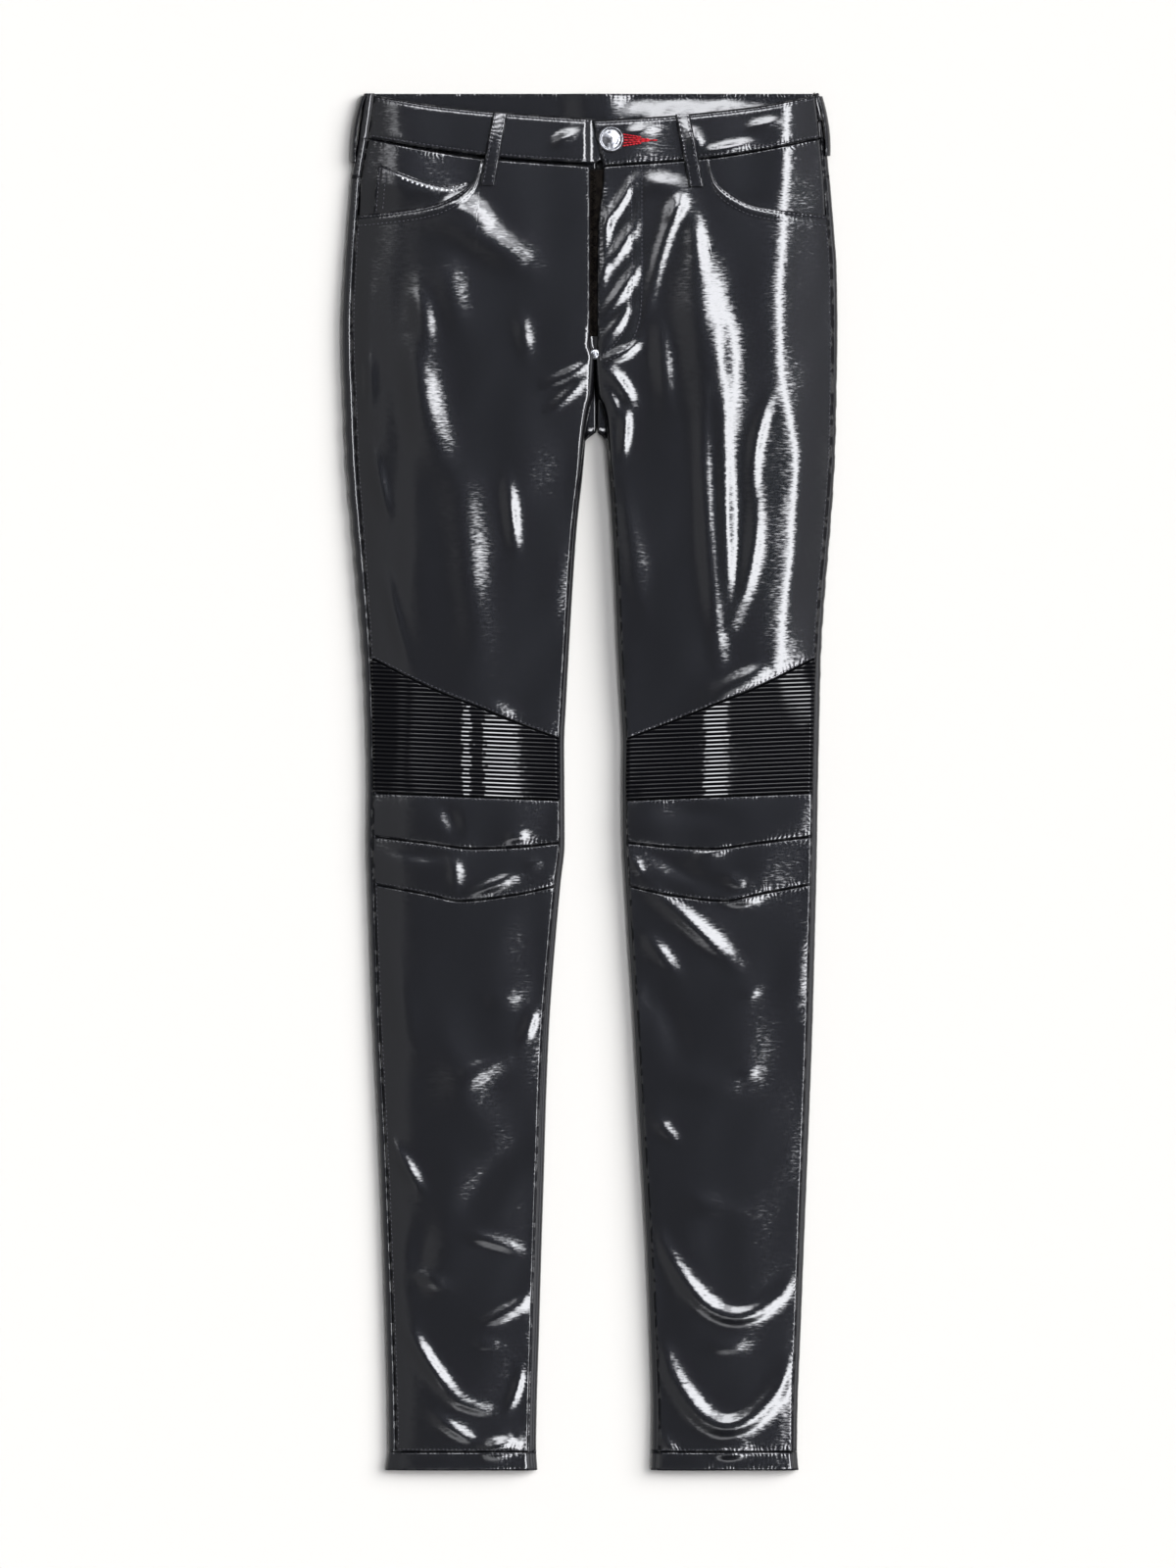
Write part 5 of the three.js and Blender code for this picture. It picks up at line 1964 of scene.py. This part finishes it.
    def zip(self) -> None:
        """The closed zip: its tape and meshed teeth, deep in the gap of the fly."""
        garment = self.shop.garment
        form = bmesh.new()
        for index, down in enumerate(np.arange(59.0, 184.0, 1.7)):
            lean = 0.5 if index % 2 else -0.5
            x = np.array([3.0 + lean])
            level = np.array([down])
            z = garment.upper(Side.LEFT, x, level)[0] - garment.panel_wall - 0.55
            place = Matrix.Translation((x[0] * MM, (garment.length / 2 - down) * MM, z * MM))
            size = Matrix.Diagonal((2.3 * MM, 0.95 * MM, 1.2 * MM, 1))
            bmesh.ops.create_cube(form, size=1, matrix=place @ size)
        tape = bmesh.ops.create_grid(form, x_segments=4, y_segments=60, size=1)["verts"]
        for vert in tape:
            x = np.array([4.5 + 7.5 * vert.co.x])
            level = np.array([121.0 + 63.0 * vert.co.y])
            surface = Side.LEFT if x[0] < garment.centre_back else Side.RIGHT
            z = garment.upper(surface, x, level)[0] - garment.panel_wall - 2 * garment.layer - 0.3
            vert.co = (x[0] * MM, (garment.length / 2 - level[0]) * MM, z * MM)
        teeth = written(form, "zip_teeth")
        piece = self.shop.finished(teeth, self.finishes.brass, "zip", "fly_zip")
        edge = piece.modifiers.new("rounded", "BEVEL")
        edge.width = 0.12 * MM
        edge.segments = 1

    def _turned(
        self, name: str, node: str, profile: Sequence[tuple[float, float]], steps: int
    ) -> None:
        """Make a round metal piece where its solid stands, by spinning a profile.

        Args:
            name: The piece's name.
            node: The solid that it stands for.
            profile: Shares of the solid's radius, with heights in millimetres.
            steps: Number of steps round.
        """
        low, high = (Vector(corner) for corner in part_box(node))
        radius = (high.x - low.x) / 2
        form = bmesh.new()
        verts = [form.verts.new((share * radius, 0, height * MM)) for share, height in profile]
        edges = [form.edges.new(pair) for pair in zip(verts, verts[1:])]
        bmesh.ops.spin(
            form, geom=[*verts, *edges], cent=(0, 0, 0), axis=(0, 0, 1), angle=TAU,
            steps=steps, use_merge=True, use_duplicate=False,
        )
        bmesh.ops.remove_doubles(form, verts=form.verts, dist=0.000005)
        bmesh.ops.recalc_face_normals(form, faces=form.faces)
        bmesh.ops.translate(
            form, verts=form.verts, vec=((low.x + high.x) / 2, (low.y + high.y) / 2, low.z)
        )
        self.shop.finished(written(form, name), self.finishes.silver, "silver", node)

    def button(self) -> None:
        """The shank button: a rolled rim round a dished, hammered face."""
        profile = (
            (0, 0), (0.94, 0), (0.99, 0.4), (1, 1.1), (0.985, 1.9), (0.94, 2.45), (0.88, 2.62),
            (0.82, 2.45), (0.775, 2.0), (0.74, 1.86), (0.62, 2.2), (0.4, 2.7), (0.2, 2.95),
            (0, 3.05),
        )
        self._turned("shank_button", "waist_button", profile, 64)

    def rivet(self) -> None:
        """The small rivet at the foot of the fly."""
        profile = (
            (0, 0), (0.95, 0), (1, 0.35), (0.96, 0.8), (0.7, 1.45), (0.62, 1.4), (0.45, 1.8),
            (0, 2.1),
        )
        self._turned("fly_rivet_head", "fly_rivet", profile, 40)

    def coin_studs(self) -> None:
        """A plain row of small studs along the coin pocket's edge."""
        garment = self.shop.garment
        front = FrontPanels(self.shop, Side.LEFT, self.finishes)
        form = bmesh.new()
        shares = np.linspace(0.185, 0.4, self.stud_count)
        downs = SmoothCurve(COIN_POCKET_TOP)(shares) + 4.0
        x = garment.front_x(Side.LEFT, shares, downs)
        lift = garment.layer + garment.coin_wall - front.facing_drop(shares, downs)
        heights = garment.upper(Side.LEFT, x, downs) + lift
        for point in garment.place(x, downs, heights):
            size = Matrix.Diagonal((*(half * MM for half in self.stud_size), 1))
            bmesh.ops.create_uvsphere(
                form, u_segments=12, v_segments=8, radius=1,
                matrix=Matrix.Translation(Vector(point) * MM) @ size,
            )
        studs = written(form, "coin_pocket_studs")
        self.shop.finished(studs, self.finishes.studs, "silver")

    def buttonhole(self) -> None:
        """The buttonhole's red stitching, which fans out from a point."""
        garment = self.shop.garment
        sewing = Sewing(self.shop, self.finishes.red_thread)
        start_x, end_x, level, half_width = 25.0, 51.0, 36.0, 4.4
        for offset in np.linspace(-half_width, half_width, 5):
            reach = abs(offset) / half_width
            stops = np.linspace(start_x, blend(end_x, end_x - 12, reach), 7)
            spread = offset * (1 - (stops - start_x) / (end_x - start_x)) ** 0.9
            downs = level + spread
            rise = self.band_rise(Side.RIGHT, stops) + 0.6
            heights = garment.upper(Side.RIGHT, stops, downs) + rise
            points = garment.place(stops, downs, heights)
            for first, second in zip(points, points[1:]):
                length = float(np.linalg.norm(second - first)) * 1.2
                sewing.thread((first + second) / 2, second - first, length, 1.35)
        sewing.finish_piece("red_buttonhole")


@dataclass
class Seams:
    """All the rows of stitches on the upper face."""

    shop: Workshop
    finishes: Finishes
    sunk: float = 0.12
    from_seam: float = 2.2
    loop_row: float = 3.3

    def front_row(
        self, sewing: Sewing, side: Side, shares: Array, downs: Array, lift: Array | float = 0.0
    ) -> None:
        """Sew across a front panel.

        Args:
            sewing: The rows so far.
            side: The side of the garment.
            shares: Shares across from the side seam.
            downs: Levels.
            lift: Height of the cloth's face above the panel's.
        """
        garment = self.shop.garment
        x = garment.front_x(side, shares, downs)
        height = garment.upper(side, x, downs) + lift - self.sunk
        sewing.row(garment.place(x, downs, height))

    def knees_and_hem(self, sewing: Sewing, side: Side) -> None:
        """The rows along the crossing seams of a leg.

        Args:
            sewing: The rows so far.
            side: The side of the garment.
        """
        shares = np.linspace(0.01, 0.99, 120)
        away = self.from_seam
        rows = ((OBLIQUE_SEAM, -away), (RIB_SEAM, away), (KNEE_SEAM, away), (SHIN_SEAM, -away))
        for seam, offset in rows:
            self.front_row(sewing, side, shares, SmoothCurve(seam)(shares) + offset)
        hem = np.full(shares.shape, self.shop.garment.hem_top - 1.9)
        self.front_row(sewing, side, shares, hem)

    def side_seam(self, sewing: Sewing, side: Side) -> None:
        """The row beside the side seam.

        Args:
            sewing: The rows so far.
            side: The side of the garment.
        """
        garment = self.shop.garment
        downs = np.arange(95.0, garment.hem_top - 4, 2.0)
        x = garment.seam_x(side, Edge.OUTER, downs) - side.value * 1.9
        height = garment.upper(side, x, downs) - self.sunk - 0.1
        sewing.row(garment.place(x, downs, height))

    def pocket(self, sewing: Sewing, side: Side) -> None:
        """The double row along the pocket's opening.

        Args:
            sewing: The rows so far.
            side: The side of the garment.
        """
        shares = np.linspace(0.01, 0.515, 160)
        for offset in POCKET_ROWS:
            self.front_row(sewing, side, shares, SmoothCurve(POCKET_EDGE)(shares) + offset, 0.1)

    def band(self, sewing: Sewing, side: Side) -> None:
        """The rows along both edges of the front band, and down the lapped end.

        Args:
            sewing: The rows so far.
            side: The side of the garment.
        """
        waist = Waist(self.shop, self.finishes)
        garment = self.shop.garment
        last = 0.83 if side is Side.LEFT else 0.985
        shares = np.linspace(0.01, last, 200)
        x, down, height = waist.band_grid(side, shares, np.array([2.6 / 34, 1 - 2.4 / 34]))
        for row in range(2):
            sewing.row(garment.place(x[row], down[row], height[row] + 0.05))
        if side is Side.RIGHT:
            x, down, height = waist.band_grid(side, np.array([0.985]), np.linspace(0.08, 0.92, 30))
            sewing.row(garment.place(x[:, 0], down[:, 0], height[:, 0] + 0.1))

    def fly(self, sewing: Sewing) -> None:
        """The curved rows of the fly.

        Args:
            sewing: The rows so far.
        """
        garment = self.shop.garment
        for line in FLY_ROWS:
            path = line.path()
            height = garment.upper(Side.RIGHT, path[:, 0], path[:, 1]) - self.sunk
            sewing.row(garment.place(path[:, 0], path[:, 1], height))

    def coin(self, sewing: Sewing) -> None:
        """The rows on the coin pocket.

        Args:
            sewing: The rows so far.
        """
        garment = self.shop.garment
        front = FrontPanels(self.shop, Side.LEFT, self.finishes)
        top, foot = SmoothCurve(COIN_POCKET_TOP), SmoothCurve(POCKET_EDGE)
        lines = [(np.linspace(0.08, 0.45, 80), None)]
        lines += [(np.full(60, share), np.linspace(0.05, 0.98, 60)) for share in (0.081, 0.109)]
        for shares, levels in lines:
            downs = top(shares) + 2.0
            if levels is not None:
                downs = blend(top(shares) + 1, foot(shares) - 1, levels)
            lift = garment.layer + garment.coin_wall - front.facing_drop(shares, downs)
            self.front_row(sewing, Side.LEFT, shares, downs, lift)

    def loop(self, sewing: Sewing, loop: FrontLoop) -> None:
        """The two rows on a front loop.

        Args:
            sewing: The rows so far.
            loop: The loop's middle line.
        """
        garment = self.shop.garment
        level = np.linspace(0.02, 0.98, 60)
        middle, downs = loop.line(level)
        lift = Waist(self.shop, self.finishes).loop_lift(level, downs) - 0.05
        for x in (middle - self.loop_row, middle + self.loop_row):
            sewing.row(garment.place(x, downs, garment.upper(loop.side, x, downs) + lift))

    def sew(self) -> None:
        """Sew everything."""
        sewing = Sewing(self.shop, self.finishes.black_thread)
        for side in Side:
            self.knees_and_hem(sewing, side)
            self.side_seam(sewing, side)
            self.pocket(sewing, side)
            self.band(sewing, side)
            self.loop(sewing, LOOPS[side])
        self.fly(sewing)
        self.coin(sewing)
        sewing.finish_piece("black_stitching")


# Studio


@dataclass(frozen=True)
class LampWindow:
    """A large soft-edged lamp, as the patch of sky that it covers.

    Its bounds are tangents: how far the lamp lies to the side for each unit of height.
    """

    across: tuple[float, float]
    up: tuple[float, float]
    radiance: float
    softness: float = 0.075


@dataclass
class Sky(Recipe):
    """The room round the set: pale side walls, dark ends and ceiling, and the lamps."""

    tint: str = "#fafbff"
    ceiling: float = 0.1
    wall: float = 0.52
    low_wall: float = 0.9
    ceiling_ends: tuple[float, float] = (0.06, 0.3)
    dark_ends: tuple[float, float] = (0.3, 0.8)
    dark_share: float = 0.28
    wall_ends: tuple[float, float] = (1.0, 1.8)
    far_ends: tuple[float, float] = (1.0, 1.9)
    lowest: float = 0.05
    lamps: tuple[LampWindow, ...] = (
        LampWindow((0.185, 0.39), (-0.45, 0.80), 20.0),
        LampWindow((-0.13, 0.12), (0.31, 0.55), 17.0),
        LampWindow((-0.42, -0.24), (0.18, 0.6), 5.0),
        LampWindow((-0.25, 0.15), (-0.46, -0.32), 3.0),
        LampWindow((0.9, 2.4), (-0.4, 1.6), 1.3, 0.25),
    )

    def __post_init__(self) -> None:
        """Make the world and its light."""
        world = bpy.data.worlds.new(self.name)
        world.use_nodes = True
        bpy.context.scene.world = world
        self.tree = world.node_tree
        self.shader = self.tree.nodes["Background"]
        direction = self.add("TexCoord").outputs["Generated"]
        axes = self.add("SeparateXYZ", (direction,)).outputs
        up = self.add("Math", (axes[2], self.lowest), operation="MAXIMUM")
        across, along = (self.add("Math", (axes[k], up), operation="DIVIDE") for k in (0, 1))
        total = self._walls(across, along)
        for lamp in self.lamps:
            sides = (
                self._span(across, lamp.across, lamp.softness),
                self._span(along, lamp.up, lamp.softness),
            )
            glow = self.add("Math", sides, operation="MULTIPLY")
            light = self.add("Math", (glow, lamp.radiance), operation="MULTIPLY")
            total = self.add("Math", (total, light), operation="ADD")
        self.feed(self.shader, {"Color": linear(self.tint), "Strength": total})

    def _walls(self, across: Node, along: Node) -> Node:
        """Light of the walls and the ceiling, without the lamps.

        Args:
            across: Tangent of the direction's lean to the side.
            along: Tangent of its lean along the garment.

        Returns:
            The node that gives the light.
        """
        sideways, lengthwise = (
            self.add("Math", (lean,), operation="ABSOLUTE") for lean in (across, along)
        )
        squares = [self.add("Math", (lean, 2.0), operation="POWER") for lean in (across, along)]
        square = self.add("Math", squares, operation="ADD")
        away = self.add("Math", (square,), operation="SQRT")
        walls = (
            self._ramp(sideways, self.ceiling_ends, (self.ceiling, self.wall)),
            self._ramp(away, self.wall_ends, (1.0, self.low_wall / self.wall)),
        )
        ends = (
            self._ramp(lengthwise, self.dark_ends, (1.0, self.dark_share)),
            self._ramp(lengthwise, self.far_ends, (0.0, 1.0)),
        )
        shares = (
            self.add("Math", walls, operation="MULTIPLY"),
            self.add("Math", ends, operation="MAXIMUM"),
        )
        return self.add("Math", shares, operation="MULTIPLY")

    def _ramp(self, value: Node, ends: tuple[float, float], to: tuple[float, float]) -> Node:
        """Pass smoothly from one strength to another."""
        return self.add("MapRange", (value, *ends, *to), interpolation_type="SMOOTHSTEP")

    def _span(self, value: Node, ends: tuple[float, float], softness: float) -> Node:
        """1 between two bounds and 0 outside, with soft edges.

        Args:
            value: What is between the bounds.
            ends: The bounds.
            softness: Reach of the soft edge on either side of a bound.

        Returns:
            The node that gives the share.
        """
        steps = [
            self._ramp(value, (end - softness, end + softness), to)
            for end, to in zip(ends, ((0.0, 1.0), (1.0, 0.0)))
        ]
        return self.add("Math", steps, operation="MULTIPLY")


@dataclass(frozen=True)
class Studio:
    """Camera straight above, a pale floor, and soft light from the right and the waist end."""

    pixel: float = 0.74
    frame_width: int = 1200
    frame_height: int = 1600
    centre_x_px: float = 601.5
    centre_y_px: float = 797.75
    camera_height: float = 7.0
    half_depth: float = 0.01
    sensor: float = 36.0
    floor_half: float = 4.0
    floor_drop: float = 0.2
    floor_colour: str = "#82817f"
    fill_strength: float = 14.0
    fill_from: tuple[float, float, float] = (1.25, 0.5, 1.0)
    fill_spread: float = 42.0

    def build(self) -> None:
        """Set up the camera, the floor and the light."""
        self._camera()
        self._floor()
        self._fill()
        Sky("studio_room")
        bpy.context.scene.view_settings.view_transform = "Standard"

    def _camera(self) -> None:
        """Put the camera straight above the frame's middle."""
        lens = bpy.data.cameras.new("overhead_camera")
        seen = self.frame_height * self.pixel * MM
        lens.sensor_fit = "VERTICAL"
        lens.sensor_height = self.sensor
        lens.lens = self.sensor * self.camera_height / seen
        holder = bpy.data.objects.new("overhead_camera", lens)
        x = (self.frame_width / 2 - self.centre_x_px) * self.pixel * MM
        y = (self.centre_y_px - self.frame_height / 2) * self.pixel * MM
        holder.location = (x, y, self.camera_height + self.half_depth)
        bpy.context.collection.objects.link(holder)
        bpy.context.scene.camera = holder

    def _fill(self) -> None:
        """Add the broad lamp low on the right, which shapes the shadows but not the gloss."""
        lamp = bpy.data.lights.new("right_fill", "SUN")
        lamp.energy = self.fill_strength
        lamp.angle = math.radians(self.fill_spread)
        holder = bpy.data.objects.new("right_fill", lamp)
        holder.rotation_euler = Vector(self.fill_from).to_track_quat("Z", "Y").to_euler()
        holder.visible_glossy = False
        bpy.context.collection.objects.link(holder)

    def _floor(self) -> None:
        """Lay the pale floor of matte paper, just under the garment."""
        form = bmesh.new()
        bmesh.ops.create_grid(form, x_segments=1, y_segments=1, size=self.floor_half)
        mesh = written(form, "pale_floor")
        floor = bpy.data.objects.new("pale_floor", mesh)
        floor.location.z = -self.floor_drop * MM
        recipe = Recipe("matte_paper")
        recipe.feed(
            recipe.shader,
            {
                "Base Color": linear(self.floor_colour),
                "Roughness": 0.9,
                "Specular IOR Level": 0.1,
            },
        )
        mesh.materials.append(recipe.material)
        bpy.context.collection.objects.link(floor)


def main() -> None:
    """Build the garment and the studio, in order."""
    logging.basicConfig(level=logging.INFO, format="%(name)s: %(message)s")
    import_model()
    Studio().build()
    finishes = Finishes()
    shop = Workshop(Garment())
    for side in Side:
        front = FrontPanels(shop, side, finishes)
        front.thigh()
        front.ribs()
        front.knee_bands()
        front.shin()
        front.pocket_facing()
        back = BackPanels(shop, side, finishes)
        back.yoke()
        back.leg()
        back.hem()
        LOG.info("%s side: panels", side.word)
    FrontPanels(shop, Side.LEFT, finishes).coin_pocket()
    waist = Waist(shop, finishes)
    waist.back_band()
    for side in Side:
        waist.front_band(side)
        waist.front_loop(LOOPS[side])
    waist.side_loop(Side.LEFT, 2, 52, 2.9)
    waist.side_loop(Side.RIGHT, 2, 47, 1.9)
    waist.back_loop()
    waist.fly()
    waist.zip()
    waist.button()
    waist.rivet()
    waist.coin_studs()
    waist.buttonhole()
    Seams(shop, finishes).sew()
    for piece in shop.pieces:
        LOG.info("%s: %d faces", piece.name, len(piece.data.polygons))


if __name__ == "__main__":
    main()
